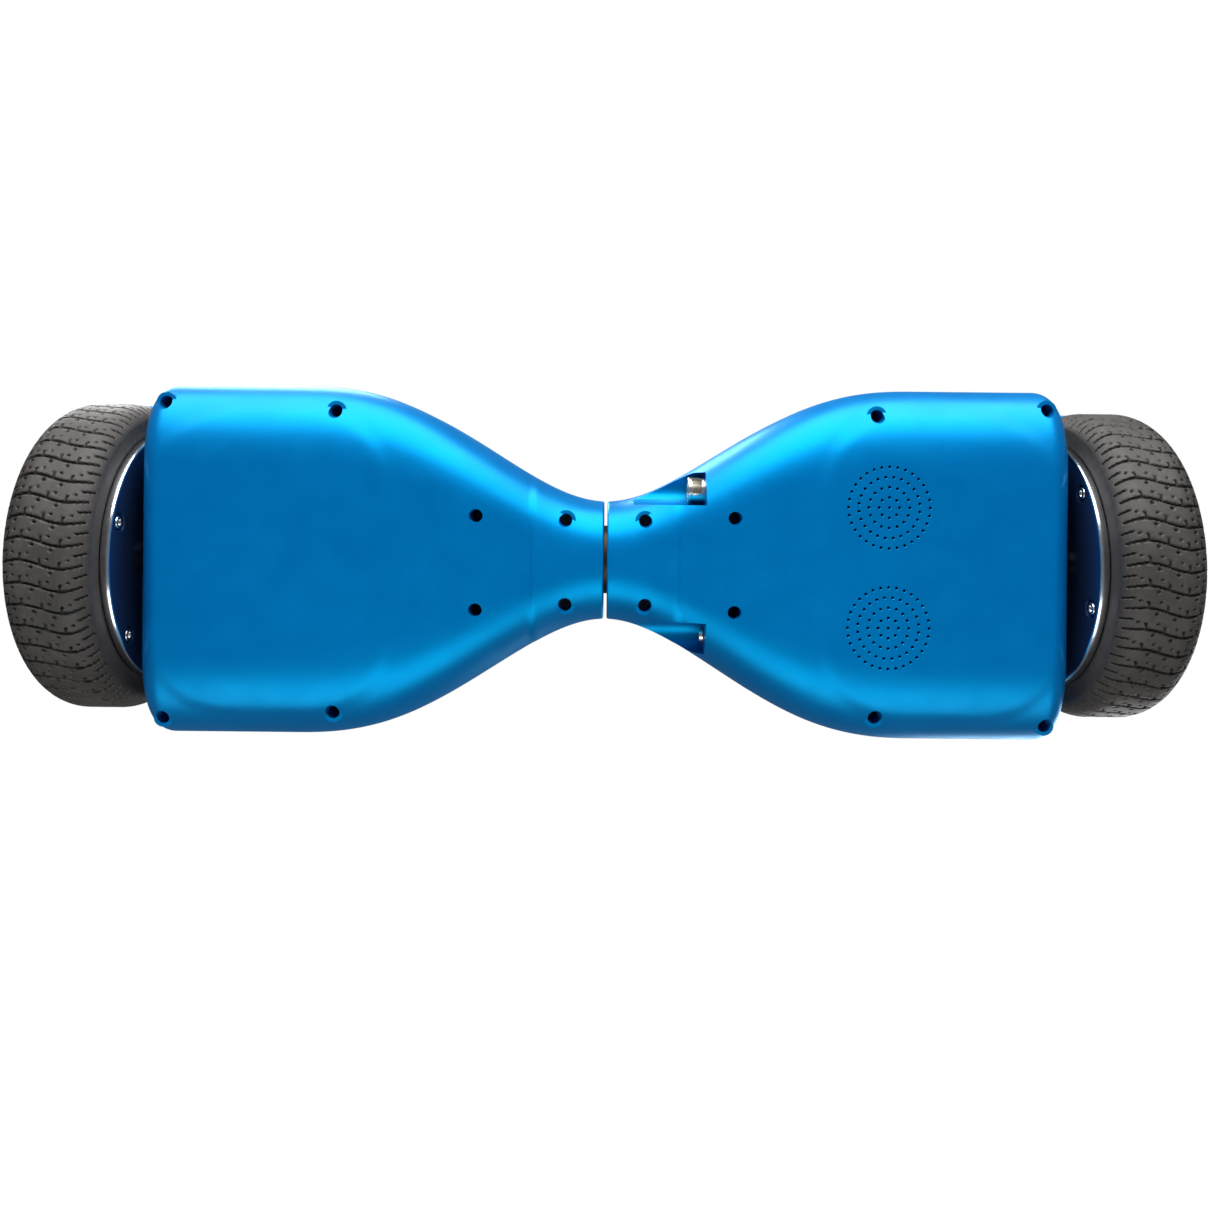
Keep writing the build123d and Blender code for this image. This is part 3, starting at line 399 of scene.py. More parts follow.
def add_posts(cover):
    """Screw posts standing inside a lower cover, and the recesses that show from below."""
    for x, y in SCREW_PLACES:
        for side in (-1, 1):
            skin = underside_height(x, side * y)
            post = rod("post", x, side * y, [(skin + 1.2, 5.2), (SCREW_HEAD_Z + 3.0, 4.6)])
            combine(cover, post, "UNION")
    for x, y in SCREW_PLACES:
        for side in (-1, 1):
            skin = underside_height(x, side * y)
            recess = [(skin - 6.0, RECESS_RADIUS + 1.6), (skin + 0.4, RECESS_RADIUS)]
            recess += [(SCREW_HEAD_Z, RECESS_RADIUS)]
            combine(cover, rod("recess", x, side * y, recess), "DIFFERENCE")
            shank = [(SCREW_HEAD_Z - 1.0, 1.55), (SCREW_HEAD_Z + 8.0, 1.55)]
            combine(cover, rod("shank", x, side * y, shank, 24), "DIFFERENCE")


SOCKET_HOLE, BUTTON_HOLE = 6.95, 4.75
POCKET = {"start": 15.0, "end": 53.0, "inner": 30.9, "outer": 48.6, "middle": 61.5}


def pocket_outline(side, grow):
    """Round-roofed section of the pocket beside the neck, as (y, z) points."""
    radius = (POCKET["outer"] - POCKET["inner"]) / 2 + grow
    middle = (POCKET["outer"] + POCKET["inner"]) / 2
    roof = arc((middle, POCKET["middle"]), radius, 180.0, 0.0, 25)
    points = [(middle - radius, 20.0)] + roof + [(middle + radius, 20.0)]
    return [(side * y, z) for y, z in points]


def body_block(name, inset):
    """The closed lower half body, as a solid, moved in by an inset."""
    rows = skin_rows(True, inset)
    piece = new_object(name, rows.reshape(-1, 3), grid_faces(*rows.shape[:2]))
    mesh = bmesh.new()
    mesh.from_mesh(piece.data)
    bmesh.ops.remove_doubles(mesh, verts=mesh.verts, dist=0.002 * MM)
    bmesh.ops.holes_fill(mesh, edges=[e for e in mesh.edges if e.is_boundary], sides=0)
    bmesh.ops.recalc_face_normals(mesh, faces=mesh.faces)
    mesh.to_mesh(piece.data)
    mesh.free()
    return piece


def add_pockets(cover):
    """The charge socket's and power button's pockets, cut through the cover and walled behind."""
    for side in (-1, 1):
        block = prism("pocket_wall", pocket_outline(side, WALL), POCKET["start"], POCKET["end"] + WALL, "YZ")
        combine(block, body_block("inside", 0.4), "INTERSECT")
        combine(cover, block, "UNION")
    for side in (-1, 1):
        room = prism("pocket_room", pocket_outline(side, 0.0), POCKET["start"], POCKET["end"], "YZ")
        combine(cover, room, "DIFFERENCE")
    y = (PORT_LOW[1] + PORT_HIGH[1]) / 2
    z = (PORT_LOW[2] + PORT_HIGH[2]) / 2
    near, far = POCKET["end"] - 3, POCKET["end"] + 9
    for place, radius in ((y, SOCKET_HOLE), (-y, BUTTON_HOLE)):
        tool = lathe("wall_hole", [(near, 0), (near, radius), (far, radius), (far, 0)], (0, place, z))
        combine(cover, tool, "DIFFERENCE")


def add_grilles(cover):
    """Two round patterns of small sound holes."""
    shifts = []
    for side in (-1, 1):
        for count, ring, turn in GRILLE_RINGS:
            for k in range(count):
                angle = math.radians(360.0 * k / count + turn)
                radius = ring * GRILLE_PITCH
                x = SPEAKER[0] + radius * math.cos(angle)
                y = side * SPEAKER[1] + radius * math.sin(angle)
                shifts.append((x, y, 0.0))
    floor = underside_height(SPEAKER[0], SPEAKER[1])
    profile = [(floor - 1.0, 1.95), (floor + 0.2, 0.76), (floor + WALL + 2.5, 0.76)]
    combine(cover, scatter(rod("grille", 0.0, 0.0, profile, 18), shifts), "DIFFERENCE")


def mat_plan(grow):
    """Plan of the foot mat, wider at the deck than toward the neck, as (x, y) points."""
    start, end, side = MAT_LOW[0], MAT_HIGH[0], MAT_HIGH[1]
    corners = [
        (start - grow, -48.0 - grow / 2),
        (128.0, -side - grow),
        (end + grow, -side - grow),
        (end + grow, side + grow),
        (128.0, side + grow),
        (start - grow, 48.0 + grow / 2),
    ]
    return rounded_outline(corners, 10.0 + grow)


def add_mat_tray(cover):
    """The recess that the foot mat sits in, with its floor."""
    combine(cover, prism("tray", mat_plan(WALL), TRAY_FLOOR - 2.5, DECK_HIGH - 0.4), "UNION")
    combine(cover, prism("tray_room", mat_plan(0.5), TRAY_FLOOR, DECK_HIGH + 6.0), "DIFFERENCE")
    peg_hole = [(TRAY_FLOOR - 8.0, 4.0), (TRAY_FLOOR + 2.0, 4.0)]
    for side in (-1, 1):
        combine(cover, rod("peg_hole", MAT_PEG[0], side * MAT_PEG[1], peg_hole), "DIFFERENCE")


FENDER_LENGTH, FENDER_ROUND, FENDER_FOOT = 63.5, 11.0, 30.0


def add_fender(cover):
    """Arched fender over the wheel, closed toward the rider, with a rolled outer edge."""
    start, end, radius = TOP_HIGH[0] - FENDER_LENGTH, TOP_HIGH[0], TOP_HIGH[2] - AXLE_Z
    corner = (start + FENDER_ROUND, radius - FENDER_ROUND)
    outer = [(start, FENDER_FOOT), (start, corner[1])]
    outer += arc(corner, FENDER_ROUND, 180.0, 90.0, 12)
    outer += [(start + 20.0, radius), (end - 5.0, radius), (end - 2.2, radius - 0.35)]
    outer += [(end - 0.6, radius - 1.3), (end, radius - 2.6)]
    inner = [(end - 0.6, radius - 3.9), (end - 1.8, radius - 4.6), (end - 3.6, radius - 3.6)]
    inner += [(end - 6.0, radius - WALL)]
    inner += arc(corner, FENDER_ROUND - WALL, 90.0, 180.0, 12)
    inner += [(start + WALL, FENDER_FOOT)]
    profile = np.array(outer + inner)
    low = math.asin((DECK_HIGH - AXLE_Z - 0.2) / radius)
    turns = np.linspace(low, math.pi - low, 120)
    points = [(x, r * math.cos(a), AXLE_Z + r * math.sin(a)) for a in turns for x, r in profile]
    count = len(profile)
    faces = [list(q) for q in grid_faces(len(turns), count, wrap_columns=True)]
    faces += [list(range(count)), list(range(len(points) - count, len(points)))]
    sheet = new_object("fender", points, faces)
    tidy(sheet)
    combine(cover, sheet, "UNION")


def rounded_slot(low, high):
    """A rectangle between two corners, with its own corners rounded."""
    return rounded_outline([low, (high[0], low[1]), high, (low[0], high[1])], 2.0)


def add_window(cover, x, length, width):
    """The status light's window in the neck's upper side."""
    outline = rounded_slot((x - length / 2, -width / 2), (x + length / 2, width / 2))
    combine(cover, prism("window", outline, NECK_HIGH - 6.0, NECK_HIGH + 6.0), "DIFFERENCE")


def add_headlight_slot(cover):
    """The headlight's slot in the front side wall."""
    low, high = box_mm("right_headlight_lens")
    middle = (low[2] + high[2]) / 2
    outline = rounded_slot((low[0] + 2.0, middle - 3.5), (high[0] - 2.0, middle + 3.5))
    combine(cover, prism("slot", outline, -BODY_HALF - 2.0, -BODY_HALF + WALL + 1.0, "XZ"), "DIFFERENCE")


# ---- tyre ----------------------------------------------------------------------------------------------
def tyre_mesh(name, phase, swing):
    """A tyre with wavy cross grooves, ticks and dots between them; swing is the side the waves lean to."""
    settings = bpy.context.scene.hoverboard
    pitches = settings.tread_blocks
    middle = (TYRE_LOW[0] + TYRE_HIGH[0]) / 2
    half = (TYRE_HIGH[0] - TYRE_LOW[0]) / 2
    bead = RIM_RADIUS + 0.3
    shoulder = bead + 0.6 * (TYRE_RADIUS - bead) - 1.8
    around = pitches * 20
    across = 92
    edge = np.linspace(0, 1, across)
    lean = np.sin((edge - 0.5) * math.pi)
    width = np.sign(lean) * np.abs(lean) ** 0.92
    past = np.clip((np.abs(width) * half - TREAD_FLAT / 2) / (half - TREAD_FLAT / 2), 0.0, 1.0)
    crown = shoulder + (TYRE_RADIUS - shoulder) * (1 - past ** 2.1) ** 0.625
    low_wall = np.linspace(bead, shoulder, 9)[:-1]
    side = np.ones_like(low_wall)
    along = np.concatenate([-side, width, side])
    radius = np.concatenate([low_wall, crown, low_wall[::-1]])
    turn = np.linspace(0, 2 * math.pi, around, endpoint=False)
    w = along[None, :]
    arc_length = (turn * TYRE_RADIUS)[:, None]
    pitch = 2 * math.pi * TYRE_RADIUS / pitches
    wave = swing * settings.groove_wave * np.sin(math.pi * w)
    place = np.mod(arc_length - wave + phase * pitch, pitch) - pitch / 2

    def notch(distance, half_width, soft=0.28):
        """1 inside a band, easing to 0 at its sides."""
        return 1 - ease((np.abs(distance) - half_width + soft / 2) / soft)

    tread = np.abs(w) < 0.985
    depth = notch(place, 0.62) * ease((0.93 - np.abs(w)) / 0.04)
    for spot in (-0.48, -0.03, 0.42, 0.77):
        across_mm = (w - spot) * half
        tick = notch(across_mm + 0.22 * (place - 2.1), 0.42) * notch(place - 2.1, 1.5, 0.5)
        dot = 1 - ease((np.hypot(across_mm - 4.2, place + 2.4) - 0.55) / 0.4)
        other = 1 - ease((np.hypot(across_mm + 3.6, place - 3.9) - 0.45) / 0.35)
        depth = np.maximum(depth, np.maximum(tick, np.maximum(dot, other * 0.8)))
    half_place = np.mod(arc_length - wave + (phase + 0.5) * pitch, pitch) - pitch / 2
    shoulder_band = ease((np.abs(w) - 0.74) / 0.03) * ease((0.975 - np.abs(w)) / 0.02)
    short = notch(half_place, 0.5) * shoulder_band
    depth = np.maximum(depth, short)
    depth = np.where(tread, depth, 0.0)
    rng = np.random.default_rng(7)
    cut = settings.groove_depth * depth
    radius = np.repeat(radius[None, :], around, axis=0) - cut
    radius += rng.normal(0.0, 0.012, radius.shape) * (depth < 0.1)
    x = middle + half * np.repeat(w, around, axis=0)
    outer = np.stack([x, -radius * np.sin(turn)[:, None], AXLE_Z - radius * np.cos(turn)[:, None]], axis=-1)
    band = [(TYRE_HIGH[0] - 0.4, bead - 1.6), (TYRE_HIGH[0] - 4.5, bead - 2.6)]
    band += [(TYRE_LOW[0] + 4.5, bead - 2.6), (TYRE_LOW[0] + 0.4, bead - 1.6)]
    inside = np.array([[(bx, -br * math.sin(a), AXLE_Z - br * math.cos(a)) for bx, br in band] for a in turn])
    points = np.concatenate([outer, inside], axis=1)
    rows, columns = points.shape[:2]
    faces = grid_faces(rows, columns, wrap_rows=True, wrap_columns=True)
    tyre = new_object(name, points.reshape(-1, 3), faces, 60.0)
    # mask of the grooves, ticks and dots, kept on the mesh for the painted shade that the rubber material
    # puts in them
    groove_shade_mask = np.zeros((rows, columns), dtype=np.float32)
    groove_shade_mask[:, :len(along)] = depth
    tyre.data.attributes.new("groove", "FLOAT", "POINT").data.foreach_set("value", groove_shade_mask.reshape(-1))
    return tyre


# ---- wheel ---------------------------------------------------------------------------------------------
def rim_ring(name):
    """Rim with a thin polished lip at each side and a dropped centre."""
    low, high = RIM_LOW[0], RIM_HIGH[0]
    lip = RIM_RADIUS
    inside = lip - 1.1
    bed = lip - 3.2
    drum = lip - 12.0
    profile = [(low + 0.6, inside), (low, inside + 0.4), (low, lip - 0.7), (low + 0.3, lip - 0.1)]
    profile += [(low + 0.9, lip), (low + 3.6, lip), (low + 4.6, lip - 0.5), (low + 5.0, bed)]
    profile += [(high - 5.0, bed), (high - 4.6, lip - 0.5), (high - 3.6, lip), (high - 0.9, lip)]
    profile += [(high - 0.3, lip - 0.1), (high, lip - 0.7), (high, inside + 0.4), (high - 0.6, inside)]
    profile += [(high - 3.4, inside), (high - 3.4, drum), (low + 3.4, drum), (low + 3.4, inside)]
    return lathe(name, profile, (0, 0, AXLE_Z), "X", 256)


def screw_centres(phase):
    """Centres of the hub screws, as (y, z); phase is the first one's angle from straight down toward +Y."""
    angles = [math.radians(phase + 60.0 * k) for k in range(6)]
    return [(HUB_SCREW_CIRCLE * math.sin(a), AXLE_Z - HUB_SCREW_CIRCLE * math.cos(a)) for a in angles]


def inner_disc(name, phase):
    """Disc that closes the motor toward the body, with a dished seat for each screw."""
    face = box_mm("right_inner_hub_cover")[0][0]
    back = face + 3.2
    profile = [(face + 0.25, 13.0), (face, 13.4), (face, 25.0), (face + 0.5, 26.0), (face + 0.5, 33.0)]
    profile += [(face, 34.0), (face, DISC_RADIUS - 1.6), (face + 0.35, DISC_RADIUS - 0.6)]
    profile += [(face + 1.0, DISC_RADIUS), (back, DISC_RADIUS), (back, 20.0), (back, 13.0)]
    dish = [(face - 2.0, 0.0), (face - 2.0, 6.9), (face, 5.0), (face + 0.5, 4.45), (face + 1.35, 4.3)]
    dish += [(face + 1.5, 3.9), (face + 1.5, 0.0)]
    disc = lathe(name, profile, (0, 0, AXLE_Z), "X", 256)
    for y, z in screw_centres(phase):
        combine(disc, lathe("dish", dish, (0, y, z), "X", 48), "DIFFERENCE")
    return disc


def hub_screw_set(name, phase):
    """Button-head screws with hexagon sockets round the inner disc."""
    face = RIM_LOW[0]
    head = [(face + 1.85, 0.0), (face + 1.85, 3.2), (face + 1.0, 3.2), (face + 0.62, 2.9)]
    head += [(face + 0.48, 2.3), (face + 0.45, 0.0)]
    screws = []
    for y, z in screw_centres(phase):
        screw = lathe("screw", head, (0, y, z), "X", 40)
        key = [(y + 1.75 * math.cos(a), z + 1.75 * math.sin(a)) for a in np.linspace(0, 2 * math.pi, 7)[:-1]]
        combine(screw, prism("key", key, face - 1.0, face + 1.3, "YZ"), "DIFFERENCE")
        screws.append(screw)
    return join(name, screws)


def outer_disc(name, phase):
    """Disc on the outside of the wheel, with six dished windows and stepped rings."""
    face = box_mm("right_outer_hub_cover")[1][0]
    back = face - 3.2
    profile = [(back, 16.6), (back, DISC_RADIUS), (face - 1.0, DISC_RADIUS), (face - 0.35, DISC_RADIUS - 0.6)]
    profile += [(face, DISC_RADIUS - 1.6), (face, DISC_RADIUS - 4.0), (face - 0.6, DISC_RADIUS - 5.0)]
    profile += [(face - 0.6, 25.0), (face, 24.0), (face, 18.4), (face - 0.5, 17.6), (face - 0.5, 16.6)]
    disc = lathe(name, profile, (0, 0, AXLE_Z), "X", 256)
    for k in range(6):
        middle = math.radians(phase + 60.0 * k)
        outline = []
        for radius, spread, order in ((54.0, 19.5, 1), (29.0, 15.0, -1)):
            for a in np.linspace(-spread, spread, 14)[::order]:
                turn = middle + math.radians(a)
                outline.append((radius * math.sin(turn), AXLE_Z - radius * math.cos(turn)))
        window = prism("window", outline, face - 2.4, face + 2.0, "YZ")
        bevel = window.modifiers.new("bevel", "BEVEL")
        bevel.width = 1.6 * MM
        bevel.segments = 4
        bevel.limit_method = "ANGLE"
        settle(window)
        combine(disc, window, "DIFFERENCE")
    return disc


def hub_dome(name):
    """Domed cap over the axle's end."""
    low, high = box_mm("right_hub_cap")
    back, face, radius = low[0], high[0], high[1]
    profile = [(back, 0.0), (back, radius - 0.05), (face - 0.9, radius - 0.05), (face - 0.25, radius - 0.5)]
    profile += [(face - 0.1, radius - 1.3), (face - 0.1, radius - 2.6), (face - 0.45, radius - 3.2)]
    profile += [(face - 0.45, radius - 6.0), (face - 0.15, radius - 7.0), (face, 3.0), (face, 0.0)]
    return lathe(name, profile, (0, 0, AXLE_Z), "X", 96)


def bush_set(name):
    """Both bushes of the centre pivot; the inner one's thrust flange stands in the gap between the halves."""
    low, high = box_mm("pivot_bushes")
    outside, length = high[1], 12.0
    bore = box_mm("pivot_shaft")[1][1] + 0.05
    face = low[0] - 0.05
    flanged = [(-0.75, bore), (-0.75, outside + 3.0), (face, outside + 3.0), (face, outside)]
    flanged += [(low[0] + length, outside), (low[0] + length, bore)]
    plain = [(high[0] - length, bore), (high[0] - length, outside), (high[0], outside), (high[0], bore)]
    rings = [lathe("bush", profile, (0, 0, AXLE_Z), "X", 96) for profile in (flanged, plain)]
    return join(name, rings)


# ---- mats, socket and button ---------------------------------------------------------------------------
RIB_STEP, RIB_WIDTH, RIB_LEAN, RIB_REACH = 7.0, 2.4, 62.0, 69.1


def rib_lines():
    """Both ends of every rib, as (x, y); four to each arm of a chevron."""
    lines = []
    begin, end = MAT_LOW[0] - 70.0, MAT_HIGH[0] + 10.0
    for k in range(int((end - begin) / RIB_STEP)):
        x = begin + k * RIB_STEP
        for side in (-1, 1):
            for gap in range(4):
                shares = (0.02 + gap * 0.25, 0.225 + gap * 0.25)
                lines.append([(x + RIB_LEAN * s, side * (0.9 + RIB_REACH * s)) for s in shares])
    return lines


def mat_mesh(name):
    """Rubber mat with a rolled border and raised chevron ribs."""
    low, top = MAT_BASE, MAT_HIGH[2]
    rings = [(0.0, low), (0.0, low + 1.9), (-0.35, low + 2.5), (-0.9, low + 2.8)]
    rings += [(-3.6, low + 2.8), (-4.2, low + 2.2)]
    count = len(mat_plan(0.0))
    points = np.vstack([np.column_stack([mat_plan(grow), np.full(count, z)]) for grow, z in rings])
    faces = [list(q) for q in grid_faces(len(rings), count, wrap_columns=True)]
    faces += [list(range(count)), list(range(len(points) - count, len(points)))]
    base = new_object(name, points, faces)
    tidy(base)
    half = RIB_WIDTH / 2
    levels = [(low + 1.6, half + 0.35, 0.0), (top - 0.25, half, 0.0), (top, half - 0.3, 0.35)]
    corners, faces = [], []
    for first, last in rib_lines():
        start = len(corners)
        for z, aside, trim in levels:
            corners += [(first[0] + trim - aside, first[1], z), (last[0] - trim - aside, last[1], z)]
            corners += [(last[0] - trim + aside, last[1], z), (first[0] + trim + aside, first[1], z)]
        faces += [[start + i for i in (3, 2, 1, 0)], [start + 8 + i for i in range(4)]]
        faces += (start + grid_faces(len(levels), 4, wrap_columns=True)).tolist()
    chevrons = new_object("ribs", corners, faces)
    tidy(chevrons)
    combine(chevrons, prism("rib_area", mat_plan(-5.6), low + 1.0, top + 1.0), "INTERSECT")
    combine(base, chevrons, "UNION")
    shade(base, 30.0)
    return base


def socket_mesh(name):
    """Charge socket's barrel with a rolled mouth, a window in its underside and a nut behind the wall."""
    y = (PORT_LOW[1] + PORT_HIGH[1]) / 2
    z = (PORT_LOW[2] + PORT_HIGH[2]) / 2
    mouth, wall_x = PORT_LOW[0], POCKET["end"]
    radius = 6.9
    nut = (wall_x + WALL, wall_x + WALL + 3.0)
    profile = [(mouth + 0.35, 5.62), (mouth, 5.85), (mouth, 6.55), (mouth + 0.3, 6.85), (mouth + 0.9, radius)]
    profile += [(mouth + 1.5, radius), (mouth + 1.7, 6.7), (wall_x - 1.3, 6.7), (wall_x - 1.1, radius)]
    profile += [(nut[0], radius), (nut[0], 9.0), (nut[1], 9.0), (nut[1], 6.1), (wall_x + 0.2, 6.1)]
    profile += [(wall_x, 5.62)]
    barrel = lathe(name, profile, (0, y, z), "X", 96)
    left, right, foot = mouth + 1.9, wall_x - 1.7, y + 2.6
    outline = [(right, y - 8.5), (left, y - 8.5), (left, foot - 1.6)]
    outline += arc((left + 1.9, foot - 1.6), 1.9, 180.0, 90.0, 8)[1:]
    outline += arc((right - 1.9, foot - 2.4), 1.9, 90.0, 0.0, 8)
    combine(barrel, prism("window", outline, z - 9.0, z - 2.4), "DIFFERENCE")
    return barrel


def socket_core(name):
    """Moulded insert behind the barrel, with three recessed contacts."""
    y = (PORT_LOW[1] + PORT_HIGH[1]) / 2
    z = (PORT_LOW[2] + PORT_HIGH[2]) / 2
    face = POCKET["end"]
    profile = [(face, 0.0), (face, 5.6), (face + 0.3, 5.95), (face + 8.5, 5.95), (face + 8.5, 0.0)]
    core = lathe(name, profile, (0, y, z), "X", 64)
    contact = [(face - 1.0, 0.0), (face - 1.0, 0.62), (face + 4.0, 0.62), (face + 4.0, 0.0)]
    for k in range(3):
        a = math.radians(90 + 120 * k)
        centre = (0, y + 2.4 * math.cos(a), z + 2.4 * math.sin(a))
        combine(core, lathe("contact", contact, centre, "X", 24), "DIFFERENCE")
    return core


def button_mesh(name):
    """Push button with a dished face."""
    y = (BUTTON_LOW[1] + BUTTON_HIGH[1]) / 2
    z = (BUTTON_LOW[2] + BUTTON_HIGH[2]) / 2
    face, back, radius = BUTTON_LOW[0], BUTTON_HIGH[0], (BUTTON_HIGH[2] - BUTTON_LOW[2]) / 2
    profile = [(back, 0.0), (back, radius), (face + 0.7, radius), (face + 0.2, radius - 0.25)]
    profile += [(face, radius - 0.7), (face + 0.05, radius - 1.2), (face + 0.45, 0.0)]
    return lathe(name, profile, (0, y, z), "X", 72)


def button_collar(name):
    """The switch's round body and collar round the button."""
    y = (BUTTON_LOW[1] + BUTTON_HIGH[1]) / 2
    z = (BUTTON_LOW[2] + BUTTON_HIGH[2]) / 2
    wall_x = POCKET["end"]
    bore = (BUTTON_HIGH[2] - BUTTON_LOW[2]) / 2 + 0.15
    nut = (wall_x + WALL, wall_x + WALL + 2.0)
    profile = [(wall_x + 8.0, 0.0), (wall_x + 8.0, bore), (wall_x + 0.2, bore), (wall_x - 0.6, bore + 0.25)]
    profile += [(wall_x - 0.6, 4.5), (wall_x - 0.2, 4.65), (nut[0], 4.65), (nut[0], 7.6), (nut[1], 7.6)]
    profile += [(nut[1], 4.65), (wall_x + 14.0, 4.65), (wall_x + 14.0, 0.0)]
    return lathe(name, profile, (0, y, z), "X", 72)


# ---- materials -----------------------------------------------------------------------------------------
class Surface:
    """Builds one node material: a Principled shader fed by small chains of procedural nodes."""

    def __init__(self, name):
        self.material = bpy.data.materials.new(name)
        self.material.use_nodes = True
        self.tree = self.material.node_tree
        self.shader = self.tree.nodes["Principled BSDF"]
        self.place = self.tree.nodes.new("ShaderNodeTexCoord").outputs["Object"]
        self.bump = None

    def node(self, kind, **values):
        """Add a node and set its properties and unlinked inputs."""
        made = self.tree.nodes.new(kind)
        for key, value in values.items():
            if key in made.inputs:
                made.inputs[key].default_value = value
            else:
                setattr(made, key, value)
        return made

    def link(self, out, into):
        """Connect two sockets."""
        self.tree.links.new(out, into)

    def stretch(self, scale):
        """Object coordinates scaled differently along each axis."""
        mapping = self.node("ShaderNodeMapping")
        mapping.inputs["Scale"].default_value = scale
        self.link(self.place, mapping.inputs["Vector"])
        return mapping.outputs["Vector"]

    def noise(self, scale, detail=3.0, roughness=0.5, stretch=None):
        """A noise value; scale is in features per metre."""
        made = self.node("ShaderNodeTexNoise", Scale=scale, Detail=detail, Roughness=roughness)
        self.link(self.stretch(stretch) if stretch else self.place, made.inputs["Vector"])
        return made.outputs["Fac"]

    def spots(self, scale):
        """Distance to the nearest of many scattered points."""
        made = self.node("ShaderNodeTexVoronoi", Scale=scale)
        self.link(self.place, made.inputs["Vector"])
        return made.outputs["Distance"]

    def remap(self, value, low, high, to_low, to_high):
        """Map a value from one range to another, clamped."""
        made = self.node("ShaderNodeMapRange")
        made.inputs["From Min"].default_value = low
        made.inputs["From Max"].default_value = high
        made.inputs["To Min"].default_value = to_low
        made.inputs["To Max"].default_value = to_high
        self.link(value, made.inputs["Value"])
        return made.outputs["Result"]

    def times(self, first, second):
        """Product of two values."""
        made = self.node("ShaderNodeMath", operation="MULTIPLY")
        self.link(first, made.inputs[0])
        self.link(second, made.inputs[1])
        return made.outputs["Value"]

    def edges(self, start=0.52, end=0.6):
        """Nonzero where the mesh has a convex edge, for worn corners."""
        geometry = self.node("ShaderNodeNewGeometry")
        return self.remap(geometry.outputs["Pointiness"], start, end, 0.0, 1.0)

    def mix(self, amount, first, second):
        """Blend two colours; each is a colour or a socket."""
        made = self.node("ShaderNodeMix", data_type="RGBA")
        self.link(amount, made.inputs["Factor"])
        for socket, colour in ((made.inputs[6], first), (made.inputs[7], second)):
            if isinstance(colour, (tuple, list)):
                socket.default_value = (*colour, 1.0)
            else:
                self.link(colour, socket)
        return made.outputs[2]

    def colour(self, socket):
        """Use a socket as the base colour."""
        self.link(socket, self.shader.inputs["Base Color"])

    def rough(self, socket):
        """Use a socket as the roughness."""
        self.link(socket, self.shader.inputs["Roughness"])

    def raise_by(self, height, distance, strength=1.0):
        """Add a layer of bump from a height; distance is in millimetres."""
        made = self.node("ShaderNodeBump", Strength=strength, Distance=distance * MM)
        self.link(height, made.inputs["Height"])
        if self.bump:
            self.link(self.bump, made.inputs["Normal"])
        self.bump = made.outputs["Normal"]
        self.link(self.bump, self.shader.inputs["Normal"])

    def set(self, **values):
        """Set plain values on the shader; underscores stand for spaces."""
        for key, value in values.items():
            self.shader.inputs[key.replace("_", " ")].default_value = value


def darker(colour, share):
    """A colour multiplied by a share."""
    return tuple(c * share for c in colour)


def lacquer(name, colour, roughness=0.3, metallic=0.75, sheen=(1.0, 1.0, 1.0)):
    """Satin metallic lacquer: fine flake, faint cloudiness, orange peel and rubbed corners."""
    s = Surface(name)
    flake = s.noise(5200, detail=1.0)
    cloud = s.noise(14, detail=4.0)
    wear = s.times(s.edges(0.53, 0.62), s.remap(s.noise(160), 0.45, 0.7, 0.0, 0.45))
    tone = s.mix(s.remap(cloud, 0.3, 0.7, 0.0, 1.0), darker(colour, 0.94), darker(colour, 1.05))
    tone = s.mix(s.remap(flake, 0.45, 0.75, 0.0, 0.22), tone, tuple(min(1.0, c * 1.5) for c in colour))
    s.colour(s.mix(wear, tone, darker(colour, 1.35)))
    s.rough(s.remap(s.noise(60, detail=5.0), 0.3, 0.7, roughness - 0.03, roughness + 0.04))
    s.raise_by(s.noise(420, detail=2.0), 0.012)
    s.raise_by(flake, 0.004)
    s.set(Metallic=metallic, IOR=2.3)
    s.shader.inputs["Specular Tint"].default_value = (*sheen, 1.0)
    return s.material


def rubber(name, colour, grain=900, dust=0.3, roughness=0.62, shade_grooves=False):
    """Moulded rubber: fine grain, dusty high spots, rubbed edges and painted shade in the grooves."""
    s = Surface(name)
    fine = s.noise(grain, detail=4.0, roughness=0.65)
    patch = s.noise(26, detail=5.0, roughness=0.6)
    tone = s.mix(s.remap(fine, 0.3, 0.7, 0.0, 1.0), darker(colour, 0.8), darker(colour, 1.2))
    dusty = s.times(s.remap(patch, 0.42, 0.68, 0.0, dust), s.remap(s.noise(grain / 3), 0.35, 0.65, 0.3, 1.0))
    tone = s.mix(dusty, tone, (0.12, 0.11, 0.1))
    tone = s.mix(s.edges(0.54, 0.64), tone, darker(colour, 1.4))
    if shade_grooves:
        # painted shade: the tread grooves, ticks and dots are darkened in the base colour by the groove mask
        # stored on the tyre mesh
        groove_shade_mask = s.node("ShaderNodeAttribute", attribute_name="groove").outputs["Fac"]
        tone = s.mix(s.remap(groove_shade_mask, 0.05, 0.6, 0.0, 1.0), tone, darker(colour, 0.1))
    s.colour(tone)
    s.rough(s.remap(patch, 0.3, 0.7, roughness - 0.08, roughness + 0.12))
    s.raise_by(fine, 0.05, 0.6)
    s.raise_by(s.spots(grain * 0.6), 0.03, 0.4)
    s.set(IOR=1.5)
    return s.material


